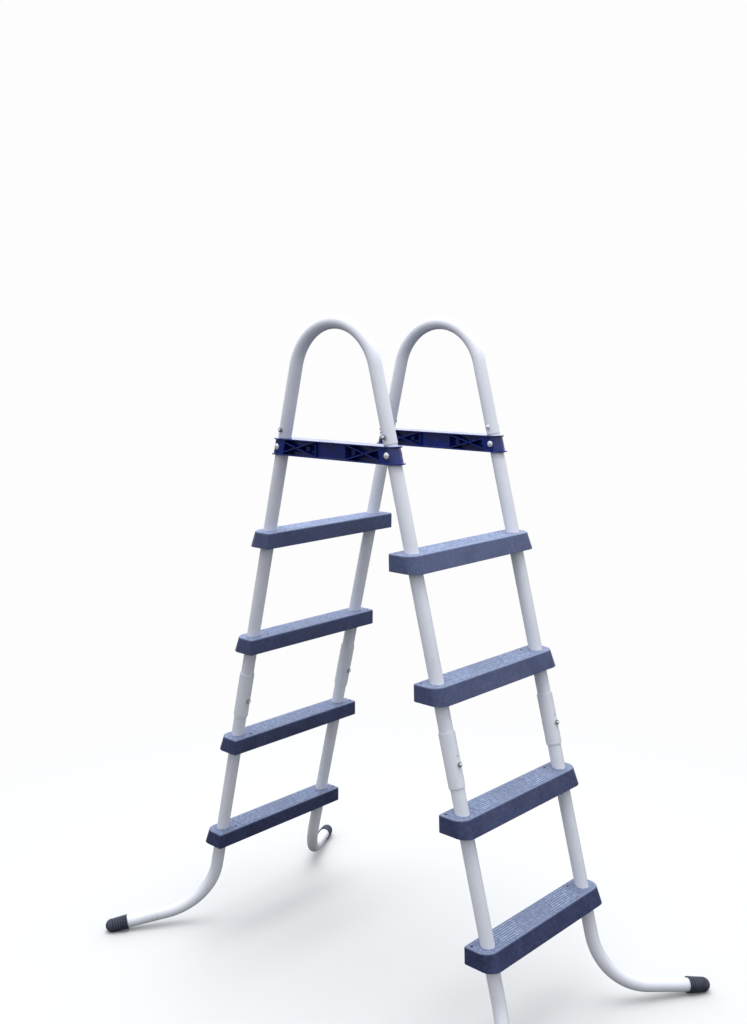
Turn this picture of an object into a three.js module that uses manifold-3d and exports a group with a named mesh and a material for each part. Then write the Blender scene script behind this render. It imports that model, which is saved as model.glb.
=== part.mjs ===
// Freestanding A-frame pool ladder: two four-step ladders that lean together over a pool wall.
// Each side has one U-shaped handrail tube whose ends join a left and a right leg, and one moulded
// bracket below it that both legs pass through. A leg is an upper rail, a splice sleeve, a lower
// leg that sweeps out to a foot, and a ribbed rubber cap on its end. Every joint is bolted.
// Units are millimetres. +X points from the left ladder to the right one, +Y along the treads from
// the front side to the rear side, and +Z up. The origin is on the ground, below the middle.
import * as THREE from "three";
import { mergeVertices } from "three/addons/utils/BufferGeometryUtils.js";
import Module from "manifold-3d";

const wasm = await Module();
wasm.setup();

// Driving dimensions of the frame.
const RAIL_SPACING = 370; // between the front and the rear legs' centre lines
const LEG_TILT = THREE.MathUtils.degToRad(14.5); // of each leg from vertical
const BRACKET_TOP = 1357; // height of the brackets' top face
const HALF_SPAN = 172.5; // from the middle to a leg's centre line at that height
const HANDRAIL_BEND = 132; // centre-line radius of the handrail's arch

// Tubes: steel, with the ends of the upper rails drawn down to fit inside their neighbours.
const TUBE_R = 16;
const TUBE_WALL = 1.2;
const NECK_R = 14.2;
const NECK_LENGTH = 58;
const SWAGE_LENGTH = 5;
const TUBE_SIDES = 16;
const SEAT_GAP = 2.5; // from the bracket's top face to the handrail's end

// Splice between the upper rail and the lower leg.
const SLEEVE_TOP = 742;
const SLEEVE_BOTTOM = 623;
const SLEEVE_BORE_R = 16.8;
const SLEEVE_R = 18.4;
const BUTT_HEIGHT = 716; // where the lower leg's end meets the upper rail's shoulder
const SPLICE_BOLT_HEIGHT = 672;
const WEEP_HOLE_HEIGHT = 690;
const WEEP_HOLE_R = 2.2;

// Feet: each lower leg bends out to a foot that falls gently to its cap.
const FOOT_CORNER_HEIGHT = 53.3; // where the leg's and the foot's centre lines would cross
const FOOT_SPLAY = THREE.MathUtils.degToRad(33.5); // of the foot, from the tread direction outwards
const FOOT_FALL = 0.137; // drop of the foot per unit of run
const FOOT_BEND = 165;
const FOOT_LENGTH = 259.5; // from that crossing to the tube's end
const CAP_MOUTH_R = 20;
const CAP_TIP_R = 18.2;
const CAP_GROOVE = 1.2; // depth between two rings
const CAP_BORE_R = 16.7;
const CAP_LENGTH = 60;
const CAP_FLOOR = 26; // thickness of the closed end
const CAP_RINGS = 5;
const CAP_RING_PITCH = 8.2;
const CAP_DOME = 19; // length of the rounded end
const CAP_SEAT = 30; // from the cap's mouth to the tube's end inside it
const CAP_SIDES = 16;

// Treads: inverted trays with a sloping outer side, slid over the rails. Reaches across a tread
// are from the leg's centre line at the tread's top face.
const TREAD_COUNT = 4;
const FIRST_TREAD = 288; // height of the lowest tread's top face
const TREAD_PITCH = 279.3;
const TREAD_HEIGHT = 40;
const TREAD_TOP = { inner: 37, outer: 31.3, halfLength: 223.2 };
const TREAD_BASE = { inner: 35, outer: 45.3, halfLength: 224.5 };
const TREAD_INNER_CORNER = 5.5;
const TREAD_OUTER_CORNER = 30;
const TREAD_EDGE = 4.2; // radius of the rounded top edge
const TREAD_WALL = 3;
const COLLAR_R = 20.5;
const COLLAR_DEPTH = 32;
const RAIL_BORE_R = 16.6;
const DRAIN_HOLE_R = 3.1;
const DRAIN_HOLE_OFFSET = [-23, -27]; // from each rail
const TREAD_RIB_PLACES = [-110, 0, 110];
const TREAD_RIB_HALF = 1.2;

// Side brackets: moulded beams with a flange above and below a ribbed web.
const BRACKET_HEIGHT = 40;
const FLANGE_R = 23.5;
const FLANGE_THICKNESS = 3;
const BLOCK_R = 20.5;
const BLOCK_REACH = 24; // from the leg's centre line inwards
const WEB_THICKNESS = 3;
const PANEL_HALF_LENGTH = 48;
const PANEL_HALF_DEPTH = 13;
const RIB_THICKNESS = 2.6;
const RIB_HALF_DEPTH = 19;
const BOSS_PLACE = 74;
const BOSS_R = 5.5;
const BOSS_HALF_DEPTH = 17.5;
const BOSS_HOLE_R = 2.3;
const BRACE_SPAN = [50, 172]; // of each pair of crossed braces
const BRACE_HALF_DEPTH = 21.3;

// Fasteners: M6 bolts with domed heads, and plain hexagon nuts.
const BOLT_R = 3;
const BOLT_HOLE_R = 3.5;
const BOLT_SIDES = 8;
const SMALL_HEAD_R = 5.2;
const LARGE_HEAD_R = 7.4;
const HEAD_HEIGHT = 3.6;
const NUT_HALF_FLATS = 5;
const NUT_HEIGHT = 5;
const THREAD_END = 2.5; // of the bolt beyond its nut
const SEAT_CLEARANCE = 0.3;
const HANDRAIL_BOLT_HEIGHT = 1377;

const PAINT = new THREE.MeshStandardMaterial({ color: 0xd9dce4, roughness: 0.35, metalness: 0.0 });
const BRACKET_PLASTIC = new THREE.MeshStandardMaterial({ color: 0x1b2466, roughness: 0.4, metalness: 0.0 });
const TREAD_PLASTIC = new THREE.MeshStandardMaterial({ color: 0x3d4674, roughness: 0.6, metalness: 0.0 });
const RUBBER = new THREE.MeshStandardMaterial({ color: 0x3a404b, roughness: 0.8, metalness: 0.0 });
const ZINC = new THREE.MeshStandardMaterial({ color: 0xc9ccd0, roughness: 0.3, metalness: 1.0 });

const SIDES = [["front", -1], ["rear", 1]];
const LADDERS = [["left", -1], ["right", 1]];
const TILT_TAN = Math.tan(LEG_TILT);
const TILT_COS = Math.cos(LEG_TILT);

// Distance of a leg's centre line from the middle plane at a height.
const legReach = (height) => HALF_SPAN + (BRACKET_TOP - height) * TILT_TAN;
// Place of a height along a leg's own axis, measured upwards from the bracket's top face.
const alongLeg = (height) => (height - BRACKET_TOP) / TILT_COS;

function solidFrom(geometry) {
  const bare = geometry.clone();
  bare.deleteAttribute("normal");
  bare.deleteAttribute("uv");
  const merged = mergeVertices(bare, 1e-4);
  const vertProperties = merged.attributes.position.array;
  const triVerts = new Uint32Array(merged.index.array);
  return new wasm.Manifold(new wasm.Mesh({ numProp: 3, vertProperties, triVerts }));
}

function geometryFrom(solid) {
  const mesh = solid.getMesh();
  const geometry = new THREE.BufferGeometry();
  geometry.setAttribute("position", new THREE.BufferAttribute(mesh.vertProperties, 3));
  geometry.setIndex(new THREE.BufferAttribute(mesh.triVerts, 1));
  return geometry.toNonIndexed();
}

// One geometry less several cutters.
function cut(geometry, cutters) {
  const solid = cutters.reduce((left, cutter) => left.subtract(solidFrom(cutter)), solidFrom(geometry));
  return geometryFrom(solid);
}

// Several geometries joined into one.
function join(geometries) {
  const solids = geometries.map(solidFrom);
  return geometryFrom(solids.reduce((sum, solid) => sum.add(solid)));
}

function named(name, geometry, material) {
  const mesh = new THREE.Mesh(geometry, material);
  mesh.name = name;
  return mesh;
}

// A solid of revolution about Z. The profile holds [radius, z] pairs and runs upwards outside.
function turned(profile, sides) {
  const points = profile.map(([radius, z]) => new THREE.Vector2(radius, z));
  return new THREE.LatheGeometry(points, sides).rotateX(Math.PI / 2);
}

// A straight cylinder from one point to another.
function rod(start, end, radius, sides = BOLT_SIDES) {
  const axis = end.clone().sub(start);
  const cylinder = new THREE.CylinderGeometry(radius, radius, axis.length(), sides);
  const lathe = new THREE.Vector3(0, 1, 0);
  const turn = new THREE.Quaternion().setFromUnitVectors(lathe, axis.clone().normalize());
  const middle = start.clone().add(end).multiplyScalar(0.5);
  return cylinder.applyQuaternion(turn).translate(middle.x, middle.y, middle.z);
}

function box(low, high) {
  const size = high.map((value, i) => value - low[i]);
  const middle = high.map((value, i) => (value + low[i]) / 2);
  return new THREE.BoxGeometry(...size).translate(...middle);
}

// Slants a geometry so that what is below a height moves out along X as a leg does.
function slanted(geometry, sideX, height) {
  const slope = -sideX * TILT_TAN;
  const shear = new THREE.Matrix4().set(1, 0, slope, -slope * height, 0, 1, 0, 0, 0, 0, 1, 0, 0, 0, 0, 1);
  return geometry.applyMatrix4(shear);
}

// A tube's centre line: straight, then one round bend, then straight. Its steps follow the bend,
// with one for each straight.
class BentLine extends THREE.Curve {
  constructor(start, corner, end, bendRadius, bendSteps) {
    super();
    const into = corner.clone().sub(start).normalize();
    const outOf = end.clone().sub(corner).normalize();
    this.angle = into.angleTo(outOf);
    const setBack = bendRadius * Math.tan(this.angle / 2);
    this.start = start;
    this.end = end;
    this.into = into;
    this.bendStart = corner.clone().addScaledVector(into, -setBack);
    this.bendEnd = corner.clone().addScaledVector(outOf, setBack);
    this.toCentre = outOf.clone().addScaledVector(into, -outOf.dot(into)).normalize();
    this.radius = bendRadius;
    this.centre = this.bendStart.clone().addScaledVector(this.toCentre, bendRadius);
    this.steps = bendSteps + 2;
  }

  getPoint(t, target = new THREE.Vector3()) {
    const place = t * this.steps;
    if (place <= 1) return target.lerpVectors(this.start, this.bendStart, place);
    if (place >= this.steps - 1) {
      return target.lerpVectors(this.bendEnd, this.end, place - (this.steps - 1));
    }
    const turn = (this.angle * (place - 1)) / (this.steps - 2);
    return target
      .copy(this.centre)
      .addScaledVector(this.toCentre, -this.radius * Math.cos(turn))
      .addScaledVector(this.into, this.radius * Math.sin(turn));
  }

  // Steps stay where the bend puts them instead of spreading evenly along the line.
  getUtoTmapping(u) {
    return u;
  }
}

function circle(radius, sides) {
  const corners = [];
  for (let i = 0; i < sides; i += 1) {
    const turn = (2 * Math.PI * i) / sides;
    corners.push(new THREE.Vector2(radius * Math.cos(turn), radius * Math.sin(turn)));
  }
  return corners;
}

// An open-ended tube along a bent line.
function bentTube(line) {
  const section = new THREE.Shape(circle(TUBE_R, TUBE_SIDES));
  section.holes.push(new THREE.Path(circle(TUBE_R - TUBE_WALL, TUBE_SIDES)));
  return new THREE.ExtrudeGeometry(section, { steps: line.steps, extrudePath: line, bevelEnabled: false });
}

// A group at a leg's centre line, level with the bracket's top face, with its Z up along the leg.
function legFrame(sideX, sideY) {
  const frame = new THREE.Group();
  frame.position.set(sideX * HALF_SPAN, (sideY * RAIL_SPACING) / 2, BRACKET_TOP);
  frame.rotation.y = -sideX * LEG_TILT;
  return frame;
}

// Two facing holes through a tube in a leg's frame, along that frame's X or Y.
function crossHole(height, axis, reach, radius = BOLT_HOLE_R) {
  const arm = new THREE.Vector3().setComponent(axis, reach);
  const middle = new THREE.Vector3(0, 0, alongLeg(height));
  return rod(middle.clone().sub(arm), middle.clone().add(arm), radius);
}

const BRACKET_BOLT_HEIGHT = BRACKET_TOP - BRACKET_HEIGHT / 2;

// The long middle tube of a leg. Its ends are drawn down into necks, one for the handrail above
// and one for the lower leg below.
function upperRail() {
  const top = alongLeg(BRACKET_TOP + SEAT_GAP) - SEAT_CLEARANCE;
  const bottom = alongLeg(BUTT_HEIGHT) + SEAT_CLEARANCE;
  const neckBore = NECK_R - TUBE_WALL;
  const tubeBore = TUBE_R - TUBE_WALL;
  const profile = [
    [NECK_R, bottom - NECK_LENGTH],
    [NECK_R, bottom],
    [TUBE_R, bottom + SWAGE_LENGTH],
    [TUBE_R, top - SWAGE_LENGTH],
    [NECK_R, top],
    [NECK_R, top + NECK_LENGTH],
    [neckBore, top + NECK_LENGTH],
    [neckBore, top],
    [tubeBore, top - SWAGE_LENGTH],
    [tubeBore, bottom + SWAGE_LENGTH],
    [neckBore, bottom],
    [neckBore, bottom - NECK_LENGTH],
    [NECK_R, bottom - NECK_LENGTH],
  ];
  return cut(turned(profile, TUBE_SIDES), [
    crossHole(HANDRAIL_BOLT_HEIGHT, 1, 2 * TUBE_R),
    crossHole(BRACKET_BOLT_HEIGHT, 1, 2 * TUBE_R),
    crossHole(SPLICE_BOLT_HEIGHT, 0, 2 * TUBE_R),
  ]);
}

// The short outer tube that stiffens the joint between the upper rail and the lower leg.
function spliceSleeve() {
  const top = alongLeg(SLEEVE_TOP);
  const bottom = alongLeg(SLEEVE_BOTTOM);
  const profile = [
    [SLEEVE_R, bottom],
    [SLEEVE_R, top],
    [SLEEVE_BORE_R, top],
    [SLEEVE_BORE_R, bottom],
    [SLEEVE_R, bottom],
  ];
  const weepHeight = alongLeg(WEEP_HOLE_HEIGHT);
  const weepStart = new THREE.Vector3(0, 0, weepHeight);
  const weepEnd = new THREE.Vector3(2 * SLEEVE_R, 0, weepHeight);
  return cut(turned(profile, TUBE_SIDES), [
    crossHole(SPLICE_BOLT_HEIGHT, 0, 2 * SLEEVE_R),
    rod(weepStart, weepEnd, WEEP_HOLE_R, 8),
  ]);
}

// The foot's direction, outwards and slightly down.
function footDirection(sideX, sideY) {
  const across = sideX * Math.sin(FOOT_SPLAY);
  const along = sideY * Math.cos(FOOT_SPLAY);
  return new THREE.Vector3(across, along, -FOOT_FALL).normalize();
}

function footCorner(sideX, sideY) {
  const across = sideX * legReach(FOOT_CORNER_HEIGHT);
  return new THREE.Vector3(across, (sideY * RAIL_SPACING) / 2, FOOT_CORNER_HEIGHT);
}

// The lower leg, from the splice down through its bend to the end of the foot.
function lowerLeg(sideX, sideY) {
  const y = (sideY * RAIL_SPACING) / 2;
  const start = new THREE.Vector3(sideX * legReach(BUTT_HEIGHT), y, BUTT_HEIGHT);
  const corner = footCorner(sideX, sideY);
  const end = corner.clone().addScaledVector(footDirection(sideX, sideY), FOOT_LENGTH);
  const bendSteps = 7;
  const tube = bentTube(new BentLine(start, corner, end, FOOT_BEND, bendSteps));
  const acrossLeg = new THREE.Vector3(TILT_COS, 0, sideX * Math.sin(LEG_TILT)).multiplyScalar(2 * TUBE_R);
  const boltMiddle = new THREE.Vector3(sideX * legReach(SPLICE_BOLT_HEIGHT), y, SPLICE_BOLT_HEIGHT);
  const boltHole = rod(boltMiddle.clone().sub(acrossLeg), boltMiddle.clone().add(acrossLeg), BOLT_HOLE_R);
  return cut(tube, [boltHole]);
}

// A ringed rubber cap with a domed end and a flat sole, in place on a foot.
function footCap(sideX, sideY) {
  const ringsEnd = CAP_RINGS * CAP_RING_PITCH;
  const ringRadius = (along) => CAP_MOUTH_R + ((CAP_TIP_R - CAP_MOUTH_R) * along) / ringsEnd;
  const profile = [[CAP_BORE_R, 0]];
  for (let i = 0; i < CAP_RINGS; i += 1) {
    const base = i * CAP_RING_PITCH;
    const groove = base + 0.85 * CAP_RING_PITCH;
    const crestEnd = base + 0.65 * CAP_RING_PITCH;
    profile.push([ringRadius(base), base], [ringRadius(crestEnd), crestEnd]);
    profile.push([ringRadius(groove) - CAP_GROOVE, groove]);
  }
  const domeStart = CAP_LENGTH - CAP_DOME;
  for (const turn of [0, 35, 60]) {
    const angle = THREE.MathUtils.degToRad(turn);
    profile.push([CAP_TIP_R * Math.cos(angle), domeStart + CAP_DOME * Math.sin(angle)]);
  }
  profile.push([0, CAP_LENGTH]);
  profile.push([0, CAP_LENGTH - CAP_FLOOR], [CAP_BORE_R / 2, CAP_LENGTH - CAP_FLOOR]);
  profile.push([CAP_BORE_R, CAP_SEAT + SEAT_CLEARANCE], [CAP_BORE_R, 0]);
  const outwards = footDirection(sideX, sideY);
  const mouth = footCorner(sideX, sideY).addScaledVector(outwards, FOOT_LENGTH - CAP_SEAT);
  const turn = new THREE.Quaternion().setFromUnitVectors(new THREE.Vector3(0, 0, 1), outwards);
  const cap = turned(profile, CAP_SIDES).applyQuaternion(turn).translate(mouth.x, mouth.y, mouth.z);
  const reach = 2 * CAP_LENGTH;
  const ground = box([mouth.x - reach, mouth.y - reach, -reach], [mouth.x + reach, mouth.y + reach, 0]);
  return cut(cap, [ground]);
}

// A handrail: one tube up from the left leg, over a round arch and down to the right leg.
function handrail(sideY) {
  const y = (sideY * RAIL_SPACING) / 2;
  const foot = BRACKET_TOP + SEAT_GAP;
  const start = new THREE.Vector3(-legReach(foot), y, foot);
  const end = new THREE.Vector3(legReach(foot), y, foot);
  const corner = new THREE.Vector3(0, y, BRACKET_TOP + HALF_SPAN / TILT_TAN);
  const bendSteps = 14;
  const tube = bentTube(new BentLine(start, corner, end, HANDRAIL_BEND, bendSteps));
  const holes = LADDERS.map(([, sideX]) => {
    const x = sideX * legReach(HANDRAIL_BOLT_HEIGHT);
    const low = new THREE.Vector3(x, y - 2 * TUBE_R, HANDRAIL_BOLT_HEIGHT);
    const high = new THREE.Vector3(x, y + 2 * TUBE_R, HANDRAIL_BOLT_HEIGHT);
    return rod(low, high, BOLT_HOLE_R);
  });
  return cut(tube, holes);
}

// A tread's outline at a height, moved in from its edges. Its outer corners are the rounder ones.
function treadOutline(size, inset, z) {
  const cornerSteps = 4;
  const outline = [];
  for (let quarter = 0; quarter < 4; quarter += 1) {
    const outside = quarter === 0 || quarter === 3;
    const radius = (outside ? TREAD_OUTER_CORNER : TREAD_INNER_CORNER) - inset;
    const centreX = outside ? size.outer - inset - radius : inset + radius - size.inner;
    const centreY = (quarter < 2 ? 1 : -1) * (size.halfLength - inset - radius);
    for (let step = 0; step <= cornerSteps; step += 1) {
      const turn = ((quarter + step / cornerSteps) * Math.PI) / 2;
      const corner = new THREE.Vector3(centreX, centreY, z);
      outline.push(corner.add(new THREE.Vector3(radius * Math.cos(turn), radius * Math.sin(turn), 0)));
    }
  }
  return outline;
}

// A closed solid through convex outlines of equal length, from the lowest to the highest.
function lofted(outlines) {
  const count = outlines[0].length;
  const vertices = outlines.flat();
  const last = (outlines.length - 1) * count;
  const faces = [];
  for (let level = 0; level + 1 < outlines.length; level += 1) {
    for (let i = 0; i < count; i += 1) {
      const a = level * count + i;
      const b = level * count + ((i + 1) % count);
      faces.push(a, b, b + count, a, b + count, a + count);
    }
  }
  for (let i = 1; i + 1 < count; i += 1) {
    faces.push(0, i + 1, i);
    faces.push(last, last + i, last + i + 1);
  }
  const geometry = new THREE.BufferGeometry().setFromPoints(vertices);
  geometry.setIndex(faces);
  return geometry;
}

// A tread for the right ladder, whose outer side faces +X. Its origin is on its top face, midway
// between the rails.
function treadShape() {
  const outer = lofted([
    treadOutline(TREAD_BASE, 0, -TREAD_HEIGHT),
    treadOutline(TREAD_TOP, 0, -TREAD_EDGE),
    treadOutline(TREAD_TOP, TREAD_EDGE * 0.3, -TREAD_EDGE * 0.3),
    treadOutline(TREAD_TOP, TREAD_EDGE, 0),
  ]);
  const hollow = lofted([
    treadOutline(TREAD_BASE, TREAD_WALL, -TREAD_HEIGHT - 1),
    treadOutline(TREAD_TOP, TREAD_WALL, -TREAD_WALL),
  ]);
  const supports = TREAD_RIB_PLACES.map((y) => {
    const low = [-TREAD_TOP.inner, y - TREAD_RIB_HALF, -COLLAR_DEPTH];
    return box(low, [TREAD_BASE.outer, y + TREAD_RIB_HALF, 0]);
  });
  const openings = [];
  for (const [, sideY] of SIDES) {
    const y = (sideY * RAIL_SPACING) / 2;
    const onLeg = (z) => new THREE.Vector3(-z * TILT_TAN, y, z);
    supports.push(rod(onLeg(-COLLAR_DEPTH), onLeg(COLLAR_R), COLLAR_R, TUBE_SIDES));
    openings.push(rod(onLeg(-2 * TREAD_HEIGHT), onLeg(TREAD_HEIGHT), RAIL_BORE_R, TUBE_SIDES));
    const [drainX, drainY] = DRAIN_HOLE_OFFSET;
    const drainLow = new THREE.Vector3(drainX, y + drainY, -2 * TREAD_WALL);
    const drainHigh = new THREE.Vector3(drainX, y + drainY, TREAD_WALL);
    openings.push(rod(drainLow, drainHigh, DRAIN_HOLE_R));
  }
  return cut(outer, [cut(hollow, supports), ...openings]);
}

// A bracket's flange: a flat plate with round ends about the legs, from one height to another.
function flange(sideY, low, high) {
  const y = (sideY * RAIL_SPACING) / 2;
  const reach = legReach(low) + 1;
  const plate = new THREE.Shape();
  plate.moveTo(-reach, -FLANGE_R);
  plate.lineTo(reach, -FLANGE_R);
  plate.absarc(reach, 0, FLANGE_R, -Math.PI / 2, Math.PI / 2, false);
  plate.lineTo(-reach, FLANGE_R);
  plate.absarc(-reach, 0, FLANGE_R, Math.PI / 2, (3 * Math.PI) / 2, false);
  const options = { depth: high - low, bevelEnabled: false, curveSegments: 5 };
  return new THREE.ExtrudeGeometry(plate, options).translate(0, y, low);
}

// One crossed brace of a bracket, from corner to corner of its bay.
function brace(sideX, y, low, high, rising) {
  const [near, far] = BRACE_SPAN;
  const run = far - near;
  const rise = (high - low) * (rising ? 1 : -1);
  const bar = new THREE.BoxGeometry(Math.hypot(run, rise), 2 * BRACE_HALF_DEPTH, RIB_THICKNESS);
  bar.rotateY(-sideX * Math.atan2(rise, run));
  return bar.translate((sideX * (near + far)) / 2, y, (low + high) / 2);
}

// A side bracket: flanges, web, middle panel, crossed braces, bosses and a bored block at each leg.
function bracket(sideY) {
  const y = (sideY * RAIL_SPACING) / 2;
  const low = BRACKET_TOP - BRACKET_HEIGHT;
  const webLow = low + FLANGE_THICKNESS - 0.5;
  const webHigh = BRACKET_TOP - FLANGE_THICKNESS + 0.5;
  const middle = (low + BRACKET_TOP) / 2;
  const webHalf = WEB_THICKNESS / 2;
  const parts = [
    flange(sideY, low, low + FLANGE_THICKNESS),
    flange(sideY, BRACKET_TOP - FLANGE_THICKNESS, BRACKET_TOP),
    box([-HALF_SPAN, y - webHalf, webLow], [HALF_SPAN, y + webHalf, webHigh]),
    box(
      [-PANEL_HALF_LENGTH, y - PANEL_HALF_DEPTH, webLow],
      [PANEL_HALF_LENGTH, y + PANEL_HALF_DEPTH, webHigh],
    ),
  ];
  const cutters = [];
  for (const [, sideX] of LADDERS) {
    const ribX = sideX * PANEL_HALF_LENGTH;
    const ribLow = [ribX - RIB_THICKNESS / 2, y - RIB_HALF_DEPTH, webLow];
    const ribHigh = [ribX + RIB_THICKNESS / 2, y + RIB_HALF_DEPTH, webHigh];
    parts.push(box(ribLow, ribHigh));
    parts.push(brace(sideX, y, webLow, webHigh, true), brace(sideX, y, webLow, webHigh, false));
    const block = new THREE.Shape();
    block.moveTo(-sideX * BLOCK_REACH, BLOCK_R);
    block.lineTo(-sideX * BLOCK_REACH, -BLOCK_R);
    block.lineTo(0, -BLOCK_R);
    block.absarc(0, 0, BLOCK_R, -Math.PI / 2, Math.PI / 2, sideX < 0);
    const options = { depth: webHigh - webLow, bevelEnabled: false, curveSegments: 6 };
    const upright = new THREE.ExtrudeGeometry(block, options);
    parts.push(slanted(upright.translate(sideX * HALF_SPAN, y, webLow), sideX, BRACKET_TOP));
    const bossX = sideX * BOSS_PLACE;
    const bossFront = new THREE.Vector3(bossX, y - BOSS_HALF_DEPTH, middle);
    const bossBack = new THREE.Vector3(bossX, y + BOSS_HALF_DEPTH, middle);
    parts.push(rod(bossFront, bossBack, BOSS_R, TUBE_SIDES));
    const holeFront = bossFront.clone().setY(y - BRACKET_HEIGHT);
    cutters.push(rod(holeFront, bossBack.clone().setY(y + BRACKET_HEIGHT), BOSS_HOLE_R));
    const bolt = new THREE.Vector3(sideX * legReach(middle), y, middle);
    const front = bolt.clone().setY(y - BRACKET_HEIGHT);
    cutters.push(rod(front, bolt.clone().setY(y + BRACKET_HEIGHT), BOLT_HOLE_R));
    const below = low - TUBE_R;
    const above = BRACKET_TOP + TUBE_R;
    const boreLow = new THREE.Vector3(sideX * legReach(below), y, below);
    const boreHigh = new THREE.Vector3(sideX * legReach(above), y, above);
    cutters.push(rod(boreLow, boreHigh, RAIL_BORE_R, TUBE_SIDES));
  }
  return cut(join(parts), cutters);
}

// A bolt and its nut in a group of their own, with the shank along Z, the head at -Z and the grip
// centred on the origin.
function boltAndNut(label, grip, headR) {
  const chamfer = 0.7;
  const seat = grip / 2 + SEAT_CLEARANCE;
  const tip = seat + NUT_HEIGHT + THREAD_END;
  const shank = [
    [0, -seat - HEAD_HEIGHT],
    [headR * 0.55, -seat - HEAD_HEIGHT * 0.86],
    [headR * 0.9, -seat - HEAD_HEIGHT * 0.42],
    [headR, -seat],
    [BOLT_R, -seat],
    [BOLT_R, tip - chamfer],
    [BOLT_R - chamfer, tip],
    [0, tip],
  ];
  const hexagon = new THREE.Shape(circle(NUT_HALF_FLATS / Math.cos(Math.PI / 6), 6));
  hexagon.holes.push(new THREE.Path(circle(BOLT_HOLE_R, BOLT_SIDES)));
  const nut = new THREE.ExtrudeGeometry(hexagon, { depth: NUT_HEIGHT, bevelEnabled: false });
  const pair = new THREE.Group();
  pair.add(named(label.replace("#", "bolt"), turned(shank, BOLT_SIDES), ZINC));
  pair.add(named(label.replace("#", "nut"), nut.translate(0, 0, seat), ZINC));
  return pair;
}

const ladder = new THREE.Group();
const treadGeometry = treadShape();

for (const [sideName, sideY] of SIDES) {
  ladder.add(named(`handrail_${sideName}`, handrail(sideY), PAINT));
  ladder.add(named(`side_bracket_${sideName}`, bracket(sideY), BRACKET_PLASTIC));
}

for (const [ladderName, sideX] of LADDERS) {
  for (const [sideName, sideY] of SIDES) {
    const leg = `${ladderName}_${sideName}`;
    const frame = legFrame(sideX, sideY);
    frame.add(named(`upper_rail_${leg}`, upperRail(), PAINT));
    frame.add(named(`splice_sleeve_${leg}`, spliceSleeve(), PAINT));

    // Handrail bolts: heads towards the climber, nuts outside.
    const handrailPair = boltAndNut(`handrail_#_${leg}`, 2 * TUBE_R, SMALL_HEAD_R);
    handrailPair.position.z = alongLeg(HANDRAIL_BOLT_HEIGHT);
    handrailPair.rotation.x = (-sideY * Math.PI) / 2;
    // Bracket bolts: all heads face the front.
    const bracketPair = boltAndNut(`bracket_#_${leg}`, 2 * BLOCK_R, LARGE_HEAD_R);
    bracketPair.position.z = alongLeg(BRACKET_BOLT_HEIGHT);
    bracketPair.rotation.x = -Math.PI / 2;
    // Splice bolts: all nuts face +X.
    const splicePair = boltAndNut(`splice_#_${leg}`, 2 * SLEEVE_R, SMALL_HEAD_R);
    splicePair.position.z = alongLeg(SPLICE_BOLT_HEIGHT);
    splicePair.rotation.y = Math.PI / 2;
    frame.add(handrailPair, bracketPair, splicePair);
    ladder.add(frame);

    ladder.add(named(`lower_leg_${leg}`, lowerLeg(sideX, sideY), PAINT));
    ladder.add(named(`foot_cap_${leg}`, footCap(sideX, sideY), RUBBER));
  }

  // Treads are numbered from the ground up. All are one moulding, turned to face outwards.
  for (let i = 0; i < TREAD_COUNT; i += 1) {
    const height = FIRST_TREAD + i * TREAD_PITCH;
    const tread = named(`tread_${ladderName}_${i + 1}`, treadGeometry, TREAD_PLASTIC);
    tread.position.set(sideX * legReach(height), 0, height);
    tread.rotation.z = sideX < 0 ? Math.PI : 0;
    ladder.add(tread);
  }
}

export default ladder;
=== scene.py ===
"""A-frame pool ladder: fine meshes, finishes, floor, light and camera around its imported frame.

Lengths are in metres and angles in radians. +X points from the left ladder to the right one, +Y
along the treads from the front side to the rear side, and +Z up. The origin is on the ground,
below the middle of the ladder.
"""

import logging
import math
import random
from collections.abc import Callable, Iterable, Sequence
from dataclasses import dataclass
from enum import Enum

import bmesh
import bpy
from mathutils import Matrix, Vector


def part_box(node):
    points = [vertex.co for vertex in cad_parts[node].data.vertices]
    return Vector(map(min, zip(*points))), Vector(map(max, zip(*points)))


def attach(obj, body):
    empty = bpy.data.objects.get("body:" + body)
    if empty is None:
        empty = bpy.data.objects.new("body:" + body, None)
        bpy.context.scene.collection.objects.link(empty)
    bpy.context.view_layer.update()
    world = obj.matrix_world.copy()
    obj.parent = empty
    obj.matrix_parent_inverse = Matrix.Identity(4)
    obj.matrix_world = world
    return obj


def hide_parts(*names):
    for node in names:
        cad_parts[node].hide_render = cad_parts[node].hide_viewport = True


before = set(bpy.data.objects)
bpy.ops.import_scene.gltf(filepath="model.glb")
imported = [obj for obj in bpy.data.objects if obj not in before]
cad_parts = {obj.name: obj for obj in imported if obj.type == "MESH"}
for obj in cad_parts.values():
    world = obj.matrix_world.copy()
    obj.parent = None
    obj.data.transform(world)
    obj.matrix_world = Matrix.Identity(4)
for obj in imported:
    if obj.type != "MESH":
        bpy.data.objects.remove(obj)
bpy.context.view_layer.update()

LOG = logging.getLogger("pool_ladder")
BODY = "root"
FULL_TURN = 2 * math.pi
QUARTER_TURN = math.pi / 2

Colour = tuple[float, float, float, float]
Profile = Sequence[tuple[float, float]]


def srgb(red: int, green: int, blue: int) -> Colour:
    """Converts a colour as a screen shows it to the linear one that shaders use.

    Args:
        red: Red, 0 to 255.
        green: Green, 0 to 255.
        blue: Blue, 0 to 255.

    Returns:
        The linear colour, with full alpha.
    """
    linear = [((level / 255 + 0.055) / 1.055) ** 2.4 for level in (red, green, blue)]
    return (linear[0], linear[1], linear[2], 1.0)


class Ladder(Enum):
    """The two ladders, by their direction along X."""

    LEFT = -1
    RIGHT = 1

    @property
    def label(self) -> str:
        """The ladder's name in lower case."""
        return self.name.lower()


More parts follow.
